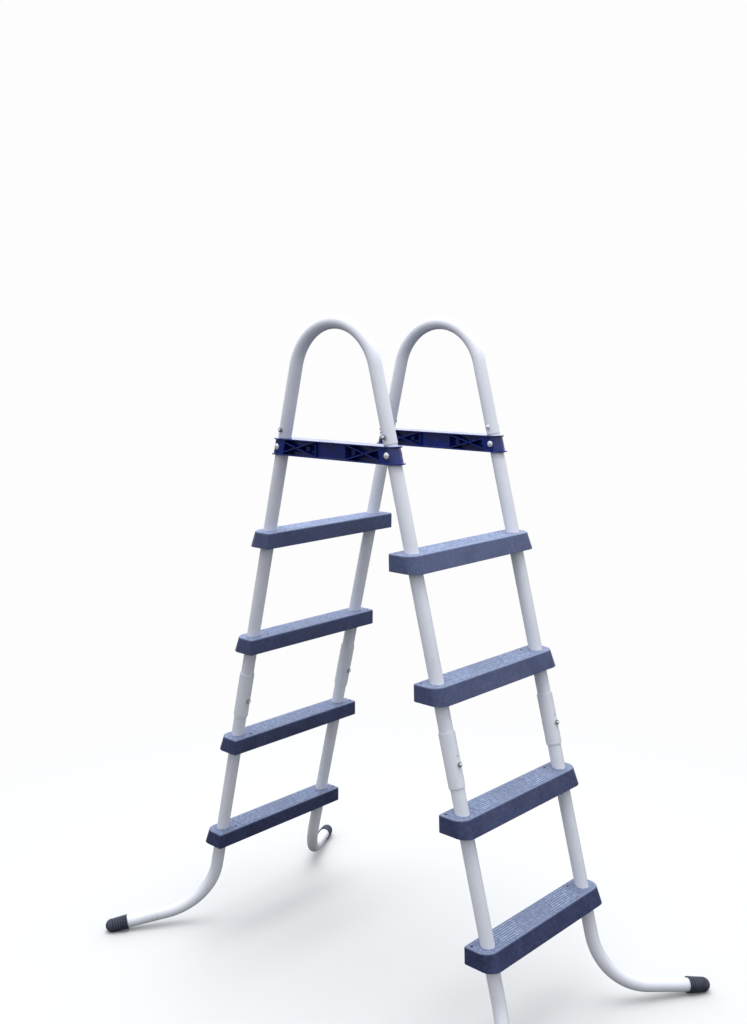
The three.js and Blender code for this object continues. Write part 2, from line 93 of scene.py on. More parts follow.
class Side(Enum):
    """The two sides of a ladder, by their direction along Y."""

    FRONT = -1
    REAR = 1

    @property
    def label(self) -> str:
        """The side's name in lower case."""
        return self.name.lower()


class Slot(Enum):
    """The record's material slots."""

    PAINT = "white_paint"
    TREAD = "tread_plastic"
    BRACKET = "bracket_plastic"
    RUBBER = "foot_rubber"
    ZINC = "zinc_hardware"


# Shader and geometry node trees.


class Wiring:
    """Adds nodes to one node tree."""

    def __init__(self, tree: bpy.types.NodeTree) -> None:
        """Keeps the tree that nodes are added to."""
        self.tree = tree

    def node(self, kind: str, settings: dict | None = None, inputs: dict | None = None) -> bpy.types.Node:
        """Adds a node.

        Args:
            kind: The node's Blender type.
            settings: Its own settings, which are set before its sockets.
            inputs: Values or links by socket identifier.

        Returns:
            The new node.
        """
        made = self.tree.nodes.new(kind)
        for name, setting in (settings or {}).items():
            setattr(made, name, setting)
        sockets = {socket.identifier: socket for socket in made.inputs}
        for name, given in (inputs or {}).items():
            given = given.socket if isinstance(given, Value) else given
            if isinstance(given, bpy.types.NodeSocket):
                self.tree.links.new(given, sockets[name])
            else:
                sockets[name].default_value = given
        return made



class Value:
    """One number on a shader socket, open to ordinary arithmetic."""

    def __init__(self, graph: Wiring, socket: bpy.types.NodeSocket) -> None:
        """Wraps a socket of a tree."""
        self.graph = graph
        self.socket = socket

    def _math(self, operation: str, first: "Number", second: "Number", clamp: bool = False) -> "Value":
        """Adds a Math node on two numbers.

        Args:
            operation: The node's operation.
            first: Its first number.
            second: Its second number.
            clamp: Whether the result is kept from 0 to 1.

        Returns:
            The result.
        """
        settings = {"operation": operation, "use_clamp": clamp}
        made = self.graph.node("ShaderNodeMath", settings, {"Value": first, "Value_001": second})
        return Value(self.graph, made.outputs["Value"])

    def __add__(self, other: "Number") -> "Value":
        """The sum."""
        return self._math("ADD", self, other)

    def __radd__(self, other: "Number") -> "Value":
        """The sum, from the right."""
        return self._math("ADD", other, self)

    def __sub__(self, other: "Number") -> "Value":
        """The difference."""
        return self._math("SUBTRACT", self, other)

    def __rsub__(self, other: "Number") -> "Value":
        """The difference, from the right."""
        return self._math("SUBTRACT", other, self)

    def __mul__(self, other: "Number") -> "Value":
        """The product."""
        return self._math("MULTIPLY", self, other)

    def __rmul__(self, other: "Number") -> "Value":
        """The product, from the right."""
        return self._math("MULTIPLY", other, self)

    def kept_in_range(self) -> "Value":
        """The number kept from 0 to 1."""
        return self._math("ADD", self, 0.0, clamp=True)

    def step(self, low: float, high: float) -> "Value":
        """A smooth step.

        Args:
            low: Where the result is 0.
            high: Where it reaches 1.

        Returns:
            The result, from 0 to 1.
        """
        inputs = {"Value": self, "From Min": low, "From Max": high}
        made = self.graph.node("ShaderNodeMapRange", {"interpolation_type": "SMOOTHSTEP"}, inputs)
        return Value(self.graph, made.outputs["Result"])


Number = Value | float


class Shading(Wiring):
    """A tree of shader nodes."""

    def mixed(self, share: object, first: object, second: object) -> bpy.types.NodeSocket:
        """Mixes two shaders.

        Args:
            share: How much of the second there is, from 0 to 1.
            first: One shader.
            second: The other.

        Returns:
            The mixed shader.
        """
        inputs = {"Fac": share, "Shader": first, "Shader_001": second}
        return self.node("ShaderNodeMixShader", None, inputs).outputs["Shader"]


class Graph(Shading):
    """The nodes of one material, in which patterns are laid out in object space."""

    def __init__(self, name: str) -> None:
        """Starts an empty material of that name."""
        self.material = bpy.data.materials.new(name)
        self.material.use_nodes = True
        super().__init__(self.material.node_tree)
        self.tree.nodes.clear()
        self.place = self.node("ShaderNodeTexCoord").outputs["Object"]
        facing = self.node("ShaderNodeNewGeometry").outputs["Normal"]
        split = self.node("ShaderNodeSeparateXYZ", None, {"Vector": facing})
        self.upward = Value(self, split.outputs["Z"])
        height = self.node("ShaderNodeSeparateXYZ", None, {"Vector": self.place})
        self.height = Value(self, height.outputs["Z"])

    def noise(self, size: float, detail: float = 3.0, stretch: Vector | None = None) -> Value:
        """Cloudy noise about 0.5.

        Args:
            size: How far apart its features are.
            detail: Octaves of finer noise in it.
            stretch: Scale of the pattern's coordinates along each axis.

        Returns:
            The noise, mostly from 0.25 to 0.75.
        """
        place = self.place
        if stretch is not None:
            mapping = {"Vector": place, "Scale": stretch}
            place = self.node("ShaderNodeMapping", None, mapping).outputs["Vector"]
        inputs = {"Vector": place, "Scale": 1 / size, "Detail": detail, "Roughness": 0.55}
        return Value(self, self.node("ShaderNodeTexNoise", None, inputs).outputs["Fac"])

    def attribute(self, name: str) -> Value:
        """A number stored on the mesh under that name."""
        made = self.node("ShaderNodeAttribute", {"attribute_name": name})
        return Value(self, made.outputs["Fac"])

    def blend(self, share: Number, first: object, second: object) -> bpy.types.NodeSocket:
        """Mixes two colours.

        Args:
            share: How much of the second there is, from 0 to 1.
            first: A colour or a colour socket.
            second: Another.

        Returns:
            The mixed colour.
        """
        settings = {"data_type": "RGBA", "clamp_factor": True}
        inputs = {"Factor_Float": share, "A_Color": first, "B_Color": second}
        made = self.node("ShaderNodeMix", settings, inputs)
        return next(socket for socket in made.outputs if socket.identifier == "Result_Color")

    def relief(self, height: Value, depth: float) -> bpy.types.NodeSocket:
        """Raises a surface's shading.

        Args:
            height: The pattern's height.
            depth: The real height of one unit of it.

        Returns:
            The normal.
        """
        inputs = {"Height": height, "Distance": depth, "Strength": 1.0}
        return self.node("ShaderNodeBump", None, inputs).outputs["Normal"]

    def finished(self, inputs: dict) -> bpy.types.Material:
        """Closes the material with one surface shader.

        Args:
            inputs: The shader's values or links by socket name.

        Returns:
            The material.
        """
        shader = self.node("ShaderNodeBsdfPrincipled", None, inputs)
        self.node("ShaderNodeOutputMaterial", None, {"Surface": shader.outputs["BSDF"]})
        return self.material


# Finishes.


@dataclass(frozen=True)
class WhitePaint:
    """Powder coat on the tubes: faintly lilac, half gloss, with an orange-peel skin."""

    clean: Colour = srgb(236, 238, 247)
    dull: Colour = srgb(222, 224, 235)
    dust: Colour = srgb(172, 170, 168)
    peel_size: float = 0.0016
    peel_depth: float = 0.00005
    cloud_size: float = 0.14

    def material(self) -> bpy.types.Material:
        """Builds the paint."""
        graph = Graph("white_powder_coat")
        clouds = graph.noise(self.cloud_size).step(0.35, 0.68)
        colour = graph.blend(clouds * 0.5, self.clean, self.dull)
        streaks = graph.noise(0.012, 4.0, Vector((1.0, 1.0, 0.12))).step(0.6, 0.74)
        near_ground = 1.0 - graph.height.step(0.02, 0.22)
        colour = graph.blend(streaks * 0.12 + near_ground * streaks * 0.1, colour, self.dust)
        peel = graph.noise(self.peel_size, 2.0)
        scuffs = graph.noise(0.004, 5.0, Vector((1.0, 1.0, 0.35))).step(0.66, 0.76)
        roughness = 0.3 + clouds * 0.1 + scuffs * 0.2
        surface = {
            "Base Color": colour,
            "Roughness": roughness,
            "Normal": graph.relief(peel + scuffs * 0.5, self.peel_depth),
            "Coat Weight": 0.3,
            "Coat Roughness": 0.12,
        }
        return graph.finished(surface)


@dataclass(frozen=True)
class TreadPlastic:
    """Weathered matt plastic of the treads: dusty blue, with painted shade on the lower treads, painted sky
    light on upward faces and higher treads, and paler raised dots and worn edges.
    """

    body: Colour = srgb(56, 66, 108)
    deep: Colour = srgb(32, 40, 78)
    chalk: Colour = srgb(158, 172, 204)
    grain_size: float = 0.0011
    grain_depth: float = 0.00011

    def material(self) -> bpy.types.Material:
        """Builds the tread's plastic."""
        graph = Graph("tread_moulding")
        clouds = graph.noise(0.07, 5.0).step(0.32, 0.7)
        high = graph.height.step(0.2, 1.25)
        # Painted shade: the lower treads are painted darker towards the deep blue, where less sky light
        # reaches them; the clouds add random tone.
        colour = graph.blend((clouds * 0.45 + (1.0 - high) * 0.55).kept_in_range(), self.body, self.deep)
        blotches = graph.noise(0.009, 6.0).step(0.42, 0.66)
        top = graph.upward.step(0.55, 0.98)
        wear = graph.attribute("wear").kept_in_range()
        raised = graph.attribute("raised").kept_in_range()
        # Painted sky light: upward faces and the higher treads are painted paler, standing in for sky light
        # reflected off them; the raised dots, worn edges, blotches and smears are real chalking.
        painted_sky_light = top * (0.34 + blotches * 0.14) + high * 0.12
        chalk_and_sky_light_share = painted_sky_light + raised * (0.36 + blotches * 0.3) + wear * 0.2 + blotches * 0.05
        colour = graph.blend(chalk_and_sky_light_share.kept_in_range(), colour, self.chalk)
        smears = graph.noise(0.006, 4.0, Vector((1.0, 1.0, 0.25))).step(0.64, 0.78)
        colour = graph.blend(smears * 0.16, colour, self.chalk)
        grain = graph.noise(self.grain_size, 3.0)
        surface = {
            "Base Color": colour,
            "Roughness": 0.5 + clouds * 0.08 + top * 0.06,
            "Normal": graph.relief(grain, self.grain_depth),
            "Specular IOR Level": 0.45,
        }
        return graph.finished(surface)


@dataclass(frozen=True)
class BracketPlastic:
    """Glossy navy plastic of the side brackets."""

    body: Colour = srgb(12, 38, 122)
    deep: Colour = srgb(8, 25, 96)
    scratch: Colour = srgb(74, 88, 140)
    ripple_size: float = 0.004
    ripple_depth: float = 0.00008

    def material(self) -> bpy.types.Material:
        """Builds the brackets' plastic."""
        graph = Graph("bracket_moulding")
        clouds = graph.noise(0.03, 4.0).step(0.35, 0.7)
        colour = graph.blend(clouds, self.body, self.deep)
        scratches = graph.noise(0.003, 6.0, Vector((0.2, 1.0, 1.0))).step(0.66, 0.75)
        colour = graph.blend(scratches * 0.35, colour, self.scratch)
        ripple = graph.noise(self.ripple_size, 2.0)
        surface = {
            "Base Color": colour,
            "Roughness": 0.26 + clouds * 0.08 + scratches * 0.2,
            "Normal": graph.relief(ripple, self.ripple_depth),
            "Coat Weight": 0.35,
            "Coat Roughness": 0.18,
        }
        return graph.finished(surface)


@dataclass(frozen=True)
class FootRubber:
    """Moulded grey rubber of the foot caps, with painted shade and dust in its grooves."""

    body: Colour = srgb(62, 68, 86)
    deep: Colour = srgb(22, 26, 40)
    dust: Colour = srgb(128, 126, 124)

    def material(self) -> bpy.types.Material:
        """Builds the rubber."""
        graph = Graph("foot_cap_rubber")
        clouds = graph.noise(0.02, 5.0).step(0.35, 0.7)
        colour = graph.blend(clouds * 0.5, self.body, self.deep)
        groove = graph.attribute("groove").kept_in_range()
        grit = graph.noise(0.0035, 5.0).step(0.45, 0.7)
        # Painted shade: the grooves are painted dark towards the deep grey, as the shade that falls in them.
        colour = graph.blend(groove * 0.85, colour, self.deep)
        colour = graph.blend(grit * 0.16 + groove * grit * 0.08, colour, self.dust)
        skin = graph.noise(0.0009, 3.0)
        surface = {
            "Base Color": colour,
            "Roughness": 0.62 + grit * 0.2,
            "Normal": graph.relief(skin, 0.00012),
            "Specular IOR Level": 0.4,
        }
        return graph.finished(surface)


@dataclass(frozen=True)
class ZincPlate:
    """Zinc on the bolts, nuts and screws: near-white bolts and screws as a painted reflection of sky glare,
    darker nuts as painted shade, and a little tarnish.
    """

    bright: Colour = srgb(242, 243, 245)
    dull: Colour = srgb(122, 125, 131)

    def material(self) -> bpy.types.Material:
        """Builds the plating."""
        graph = Graph("zinc_plate")
        tarnish = graph.noise(0.004, 5.0).step(0.4, 0.68)
        brushing = graph.noise(0.0006, 3.0)
        # Painted shade and reflection: points marked as nut shade get the dark grey base and more metal, as
        # shaded copies of the near-white bolts, whose white stands in for reflected sky glare.
        dulled = graph.attribute("dulled").kept_in_range()
        tarnish_and_nut_shade = (tarnish * 0.22 + dulled * 0.75).kept_in_range()
        surface = {
            "Base Color": graph.blend(tarnish_and_nut_shade, self.bright, self.dull),
            "Metallic": 0.35 + dulled * 0.55,
            "Roughness": 0.24 + tarnish * 0.16,
            "Normal": graph.relief(brushing, 0.00002),
        }
        return graph.finished(surface)


# Mesh work.


def mesh_of(shape: bmesh.types.BMesh) -> bpy.types.Mesh:
    """Turns mesh-editing data into a mesh and frees it.

    Args:
        shape: The mesh-editing data.

    Returns:
        The mesh.
    """
    mesh = bpy.data.meshes.new("shape")
    shape.to_mesh(mesh)
    shape.free()
    return mesh


def marked(mesh: bpy.types.Mesh, name: str, marks: Sequence[float]) -> None:
    """Stores a number on each of a mesh's points.

    Args:
        mesh: The mesh.
        name: The attribute's name.
        marks: The numbers, one for each point.
    """
    mesh.attributes.new(name, "FLOAT", "POINT").data.foreach_set("value", marks)


def moved(mesh: bpy.types.Mesh, place: Matrix) -> bpy.types.Mesh:
    """A copy of a mesh put in place by a rotation and a shift.

    Args:
        mesh: The mesh.
        place: The rotation and the shift.

    Returns:
        The copy.
    """
    copy = mesh.copy()
    copy.transform(place)
    return copy


def joined(meshes: Iterable[bpy.types.Mesh]) -> bpy.types.Mesh:
    """Several meshes as one, each still a shell of its own.

    Args:
        meshes: The meshes.

    Returns:
        One mesh.
    """
    shape = bmesh.new()
    for mesh in meshes:
        shape.from_mesh(mesh)
    return mesh_of(shape)


def baked(start: bpy.types.Mesh, dress: Callable[[bpy.types.Object], None]) -> bpy.types.Mesh:
    """Runs modifiers on a mesh.

    Args:
        start: The mesh that they start from.
        dress: Adds the modifiers to a temporary object.

    Returns:
        The plain mesh that they give.
    """
    bench = bpy.data.objects.new("bench", start)
    bpy.context.scene.collection.objects.link(bench)
    dress(bench)
    depsgraph = bpy.context.evaluated_depsgraph_get()
    shown = bench.evaluated_get(depsgraph)
    mesh = bpy.data.meshes.new_from_object(shown, preserve_all_data_layers=True, depsgraph=depsgraph)
    bpy.data.objects.remove(bench)
    return mesh


def loft(rings: Sequence[Sequence[Vector]], closed: bool) -> bpy.types.Mesh:
    """Skins rings of equal length.

    Args:
        rings: The rings, in order.
        closed: Whether the last ring joins the first; if not, both ends are filled.

    Returns:
        One closed shell with its faces out.
    """
    shape = bmesh.new()
    levels = [[shape.verts.new(point) for point in ring] for ring in rings]
    count = len(levels[0])
    pairs = list(zip(levels, levels[1:] + levels[:1])) if closed else list(zip(levels, levels[1:]))
    for low, high in pairs:
        for i in range(count):
            j = (i + 1) % count
            shape.faces.new((low[i], low[j], high[j], high[i]))
    if not closed:
        shape.faces.new(levels[0])
        shape.faces.new(levels[-1])
    bmesh.ops.remove_doubles(shape, verts=shape.verts, dist=1e-7)
    bmesh.ops.recalc_face_normals(shape, faces=shape.faces)
    return mesh_of(shape)


def ring_points(radius: float, height: float, sides: int) -> list[Vector]:
    """Points of a level circle about the Z axis."""
    turns = [FULL_TURN * i / sides for i in range(sides)]
    return [Vector((radius * math.cos(turn), radius * math.sin(turn), height)) for turn in turns]


def revolved(profile: Profile, sides: int, closed: bool = True) -> bpy.types.Mesh:
    """Turns a profile about the Z axis.

    Args:
        profile: Its corners as radius and height.
        sides: Steps in the full turn.
        closed: Whether the profile closes on itself; if not, its ends lie on the axis.

    Returns:
        One closed shell.
    """
    if closed:
        return loft([ring_points(radius, height, sides) for radius, height in profile], True)
    tiny = 1e-6
    inner = list(profile)[1:-1]
    rings = [ring_points(tiny, profile[0][1], sides)]
    rings += [ring_points(radius, height, sides) for radius, height in inner]
    rings.append(ring_points(tiny, profile[-1][1], sides))
    return loft(rings, False)


def eased(profile: Profile, radius: float, steps: int = 3, closed: bool = True) -> list[tuple[float, float]]:
    """Rounds the corners of a profile.

    Args:
        profile: Its corners.
        radius: How far from a corner the rounding starts, at most half of the way to the next.
        steps: Steps in each rounding.
        closed: Whether the profile closes on itself; if not, its ends stay.

    Returns:
        The new corners.
    """
    corners = [Vector(corner) for corner in profile]
    count = len(corners)
    result: list[tuple[float, float]] = []
    for i, corner in enumerate(corners):
        if not closed and i in (0, count - 1):
            result.append((corner.x, corner.y))
            continue
        before = corners[i - 1] - corner
        after = corners[(i + 1) % count] - corner
        start = corner + before.normalized() * min(radius, before.length / 2)
        end = corner + after.normalized() * min(radius, after.length / 2)
        for step in range(steps + 1):
            t = step / steps
            point = start * (1 - t) ** 2 + corner * 2 * t * (1 - t) + end * t**2
            result.append((point.x, point.y))
    return result


def slab(outline: Sequence[tuple[float, float]], low: float, high: float, edge: float) -> bpy.types.Mesh:
    """An upright prism with rounded edges.

    Args:
        outline: Its corners, seen from above.
        low: Height of its underside.
        high: Height of its top.
        edge: Width of the rounding.

    Returns:
        One closed shell.
    """
    shape = bmesh.new()
    base = [shape.verts.new((x, y, low)) for x, y in outline]
    top = [shape.verts.new((x, y, high)) for x, y in outline]
    count = len(base)
    for i in range(count):
        j = (i + 1) % count
        shape.faces.new((base[i], base[j], top[j], top[i]))
    shape.faces.new(base[::-1])
    shape.faces.new(top)
    bmesh.ops.recalc_face_normals(shape, faces=shape.faces)
    sharp = [e for e in shape.edges if e.calc_face_angle() > math.radians(30)]
    bmesh.ops.bevel(shape, geom=sharp, offset=edge, segments=2, profile=0.5, affect="EDGES")
    return mesh_of(shape)


def block(low: Sequence[float], high: Sequence[float], edge: float) -> bpy.types.Mesh:
    """A box with rounded edges, from one corner to the opposite one."""
    outline = [(low[0], low[1]), (high[0], low[1]), (high[0], high[1]), (low[0], high[1])]
    return slab(outline, low[2], high[2], edge)


def carved(mesh: bpy.types.Mesh, cutter: bpy.types.Mesh) -> bpy.types.Mesh:
    """A closed shell less another mesh.

    Args:
        mesh: The shell.
        cutter: What is cut from it.

    Returns:
        What is left.
    """
    knife = bpy.data.objects.new("knife", cutter)
    bpy.context.scene.collection.objects.link(knife)

    def dress(bench: bpy.types.Object) -> None:
        """Adds the cut."""
        cut = bench.modifiers.new("cut", "BOOLEAN")
        cut.operation = "DIFFERENCE"
        cut.solver = "EXACT"
        cut.object = knife

    made = baked(mesh, dress)
    bpy.data.objects.remove(knife)
    return made


def dressed(mesh: bpy.types.Mesh, sharpest: float = 34.0) -> bpy.types.Mesh:
    """Smooths the shading of a mesh.

    Args:
        mesh: The mesh.
        sharpest: Edges that turn by more degrees than this stay crisp.

    Returns:
        The mesh with normals that keep its flat faces flat.
    """
    mesh.shade_smooth()
    mesh.set_sharp_from_angle(angle=math.radians(sharpest))

    def dress(bench: bpy.types.Object) -> None:
        """Adds the normals."""
        weighted = bench.modifiers.new("normals", "WEIGHTED_NORMAL")
        weighted.keep_sharp = True

    return baked(mesh, dress)


class GeometryTree(Wiring):
    """A geometry node tree with named inputs, which turns a start mesh into a plain mesh."""

    def __init__(self, name: str, inputs: dict[str, str]) -> None:
        """Starts the tree.

        Args:
            name: The tree's name.
            inputs: Socket types by input name, apart from the start geometry.
        """
        super().__init__(bpy.data.node_groups.new(name, "GeometryNodeTree"))
        sockets = self.tree.interface
        sockets.new_socket("Start", in_out="INPUT", socket_type="NodeSocketGeometry")
        sockets.new_socket("Finish", in_out="INPUT", socket_type="NodeSocketMaterial")
        for label, kind in inputs.items():
            sockets.new_socket(label, in_out="INPUT", socket_type=kind)
        sockets.new_socket("Result", in_out="OUTPUT", socket_type="NodeSocketGeometry")
        self.given = self.node("NodeGroupInput").outputs

    def close(self, geometry: bpy.types.NodeSocket) -> None:
        """Ends the tree: instances made real, the finish set."""
        real = self.node("GeometryNodeRealizeInstances", None, {"Geometry": geometry})
        inputs = {"Geometry": real.outputs["Geometry"], "Material": self.given["Finish"]}
        painted = self.node("GeometryNodeSetMaterial", None, inputs)
        end = self.tree.nodes.new("NodeGroupOutput")
        self.tree.links.new(painted.outputs["Geometry"], end.inputs["Result"])

    def add_to(self, bench: bpy.types.Object, values: dict) -> None:
        """Puts the tree on an object.

        Args:
            bench: The object.
            values: Values by input name.
        """
        modifier = bench.modifiers.new(self.tree.name, "NODES")
        modifier.node_group = self.tree
        for item in self.tree.interface.items_tree:
            if item.in_out == "INPUT" and item.name in values:
                modifier[item.identifier] = values[item.name]


class SweepTree(GeometryTree):
    """Sweeps a circle along the edges of a mesh; each point's "girth" is the radius there."""

    def __init__(self) -> None:
        """Builds the tree."""
        super().__init__("tube_along_path", {"Sides": "NodeSocketInt", "Capped": "NodeSocketBool"})
        path = self.node("GeometryNodeMeshToCurve", None, {"Mesh": self.given["Start"]})
        ring_inputs = {"Resolution": self.given["Sides"], "Radius": 1.0}
        ring = self.node("GeometryNodeCurvePrimitiveCircle", None, ring_inputs)
        girth = self.node("GeometryNodeInputNamedAttribute", {"data_type": "FLOAT"}, {"Name": "girth"})
        inputs = {
            "Curve": path.outputs["Curve"],
            "Profile Curve": ring.outputs["Curve"],
            "Scale": girth.outputs["Attribute"],
            "Fill Caps": self.given["Capped"],
        }
        tube = self.node("GeometryNodeCurveToMesh", None, inputs)
        smooth = self.node("GeometryNodeSetShadeSmooth", None, {"Geometry": tube.outputs["Mesh"]})
        self.close(smooth.outputs["Geometry"])


class ScatterTree(GeometryTree):
    """Puts a copy of one shape on each point of a mesh, with sizes drawn from a fixed seed."""

    def __init__(self) -> None:
        """Builds the tree."""
        inputs = {
            "Shape": "NodeSocketObject",
            "Smallest": "NodeSocketFloat",
            "Largest": "NodeSocketFloat",
            "Seed": "NodeSocketInt",
        }
        super().__init__("shape_on_points", inputs)
        shape = self.node("GeometryNodeObjectInfo", None, {"Object": self.given["Shape"]})
        limits = {"Min_001": self.given["Smallest"], "Max_001": self.given["Largest"]}
        draw = {**limits, "Seed": self.given["Seed"]}
        size = self.node("FunctionNodeRandomValue", {"data_type": "FLOAT"}, draw)
        placed = {
            "Points": self.given["Start"],
            "Instance": shape.outputs["Geometry"],
            "Scale": size.outputs[1],
        }
        self.close(self.node("GeometryNodeInstanceOnPoints", None, placed).outputs["Instances"])


Run = Sequence[tuple[Vector, float]]


class Workshop:
    """Makes finished pieces and seats them on the frame."""

    def __init__(self) -> None:
        """Mixes the finishes and builds the trees."""
        self.finishes = {
            Slot.PAINT: WhitePaint().material(),
            Slot.TREAD: TreadPlastic().material(),
            Slot.BRACKET: BracketPlastic().material(),
            Slot.RUBBER: FootRubber().material(),
            Slot.ZINC: ZincPlate().material(),
        }
        self.sweep_tree = SweepTree()
        self.scatter_tree = ScatterTree()

    def swept(self, runs: Sequence[Run], slot: Slot, sides: int, wall: float | None = None) -> bpy.types.Mesh:
        """Makes tubes or bars along paths.

        Args:
            runs: For each path, its points and the radius at each.
            slot: The finish.
            sides: Sides of the circle.
            wall: Thickness of an open tube's wall; without one the ends are filled.

        Returns:
            The mesh.
        """
        points = [point for run in runs for point, _ in run]
        girths = [girth for run in runs for _, girth in run]
        edges: list[tuple[int, int]] = []
        first = 0
        for run in runs:
            edges += [(first + i, first + i + 1) for i in range(len(run) - 1)]
            first += len(run)
        start = bpy.data.meshes.new("path")
        start.from_pydata(points, edges, [])
        marked(start, "girth", girths)

        def dress(bench: bpy.types.Object) -> None:
            """Adds the sweep and the wall."""
            values = {"Finish": self.finishes[slot], "Sides": sides, "Capped": wall is None}
            self.sweep_tree.add_to(bench, values)
            if wall is not None:
                shell = bench.modifiers.new("wall", "SOLIDIFY")
                shell.thickness = wall
                shell.offset = -1.0

        return baked(start, dress)

    def scattered(
        self,
        points: Sequence[Vector],
        shape: bpy.types.Mesh,
        slot: Slot,
        sizes: tuple[float, float] = (1.0, 1.0),
        seed: int = 0,
    ) -> bpy.types.Mesh:
        """Puts copies of a shape on points.

        Args:
            points: Where they go.
            shape: The shape, about its own origin.
            slot: The finish.
            sizes: The smallest and the largest scale.
            seed: The seed that the scales are drawn from.

        Returns:
            The mesh.
        """
        start = bpy.data.meshes.new("points")
        start.from_pydata(points, [], [])
        model = bpy.data.objects.new("model", shape)
        bpy.context.scene.collection.objects.link(model)

        def dress(bench: bpy.types.Object) -> None:
            """Adds the copies."""
            smallest, largest = sizes
            values = {"Shape": model, "Smallest": smallest, "Largest": largest, "Seed": seed}
            self.scatter_tree.add_to(bench, {"Finish": self.finishes[slot], **values})

        made = baked(start, dress)
        bpy.data.objects.remove(model)
        return made

    def seat(self, name: str, mesh: bpy.types.Mesh, slot: Slot, *nodes: str) -> bpy.types.Object:
        """Makes a mesh a piece of the ladder.

        Args:
            name: The piece's name.
            mesh: Its mesh, in place.
            slot: Its finish.
            nodes: The frame's nodes that it stands for.

        Returns:
            The piece.
        """
        mesh.name = name
        mesh.materials.clear()
        mesh.materials.append(self.finishes[slot])
        piece = bpy.data.objects.new(name, mesh)
        bpy.context.scene.collection.objects.link(piece)
        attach(piece, BODY)
        if nodes:
            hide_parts(*nodes)
        LOG.info("%s: %d faces for %s", name, len(mesh.polygons), ", ".join(nodes) or "no node")
        return piece


def rod(start: Vector, end: Vector, radius: float, sides: int = 40) -> bpy.types.Mesh:
    """A plain cylinder between two points, to cut with.

    Args:
        start: The middle of its first end.
        end: The middle of its other end.
        radius: Its radius.
        sides: Its number of sides.

    Returns:
        The mesh.
    """
    axis = end - start
    upright = loft([ring_points(radius, 0.0, sides), ring_points(radius, axis.length, sides)], False)
    turn = Vector((0.0, 0.0, 1.0)).rotation_difference(axis).to_matrix().to_4x4()
    return moved(upright, Matrix.Translation(start) @ turn)


def bent_path(start: Vector, corner: Vector, end: Vector, bend: float, steps: int) -> list[Vector]:
    """A tube's centre line: straight, one round bend, straight.

    Args:
        start: Its first point.
        corner: Where the two straights would cross.
        end: Its last point.
        bend: Radius of the bend.
        steps: Steps in the bend.

    Returns:
        The line's points.
    """
    into = (corner - start).normalized()
    out_of = (end - corner).normalized()
    angle = into.angle(out_of)
    bend_start = corner - into * bend * math.tan(angle / 2)
    to_centre = (out_of - into * out_of.dot(into)).normalized()
    centre = bend_start + to_centre * bend
    turns = [angle * i / steps for i in range(steps + 1)]
    arc = [centre - to_centre * bend * math.cos(turn) + into * bend * math.sin(turn) for turn in turns]
    return [start, *arc, end]


# Sub-assemblies.


@dataclass(frozen=True)
class Plan:
    """Where the legs run, which every sub-assembly shares."""

    rail_plane: float
    bracket_top: float
    tilt: float = math.radians(14.5)
    half_span: float = 0.1725
    tube_r: float = 0.016
    tube_wall: float = 0.0012
    neck_r: float = 0.0142
    neck_length: float = 0.058
    seat_gap: float = 0.0025
    clearance: float = 0.0003
    tube_sides: int = 48

    @classmethod
    def from_frame(cls) -> "Plan":
        """Reads the rails' plane and the brackets' top from the frame."""
        low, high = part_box("upper_rail_right_rear")
        return cls(rail_plane=(low.y + high.y) / 2, bracket_top=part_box("side_bracket_rear")[1].z)

    def reach(self, height: float) -> float:
        """Distance of a leg's centre line from the middle plane at a height."""
        return self.half_span + (self.bracket_top - height) * math.tan(self.tilt)

    def along(self, height: float) -> float:
        """Place of a height along a leg's axis, upwards from the brackets' top."""
        return (height - self.bracket_top) / math.cos(self.tilt)

    def on_leg(self, ladder: Ladder, side: Side, height: float) -> Vector:
        """The point of a leg's centre line at a height."""
        return Vector((ladder.value * self.reach(height), side.value * self.rail_plane, height))

    def leg_frame(self, ladder: Ladder, side: Side) -> Matrix:
        """A leg's own frame: at the brackets' top, with Z up along the leg."""
        place = Matrix.Translation(self.on_leg(ladder, side, self.bracket_top))
        return place @ Matrix.Rotation(-ladder.value * self.tilt, 4, "Y")


@dataclass(frozen=True)
class Handrail:
    """One arched handrail tube, from the left leg to the right one."""

    plan: Plan
    side: Side
    bend: float = 0.132
    shrink: float = 0.00003
    bend_steps: int = 72

    def build(self, shop: Workshop) -> None:
        """Makes the tube and seats it."""
        plan = self.plan
        foot = plan.bracket_top + plan.seat_gap
        start = plan.on_leg(Ladder.LEFT, self.side, foot)
        end = plan.on_leg(Ladder.RIGHT, self.side, foot)
        peak = plan.bracket_top + plan.half_span / math.tan(plan.tilt)
        corner = Vector((0.0, start.y, peak))
        path = bent_path(start, corner, end, self.bend, self.bend_steps)
        run = [(point, plan.tube_r - self.shrink) for point in path]
        mesh = shop.swept([run], Slot.PAINT, plan.tube_sides, plan.tube_wall)
        node = f"handrail_{self.side.label}"
        shop.seat(f"fine_{node}", dressed(mesh), Slot.PAINT, node)


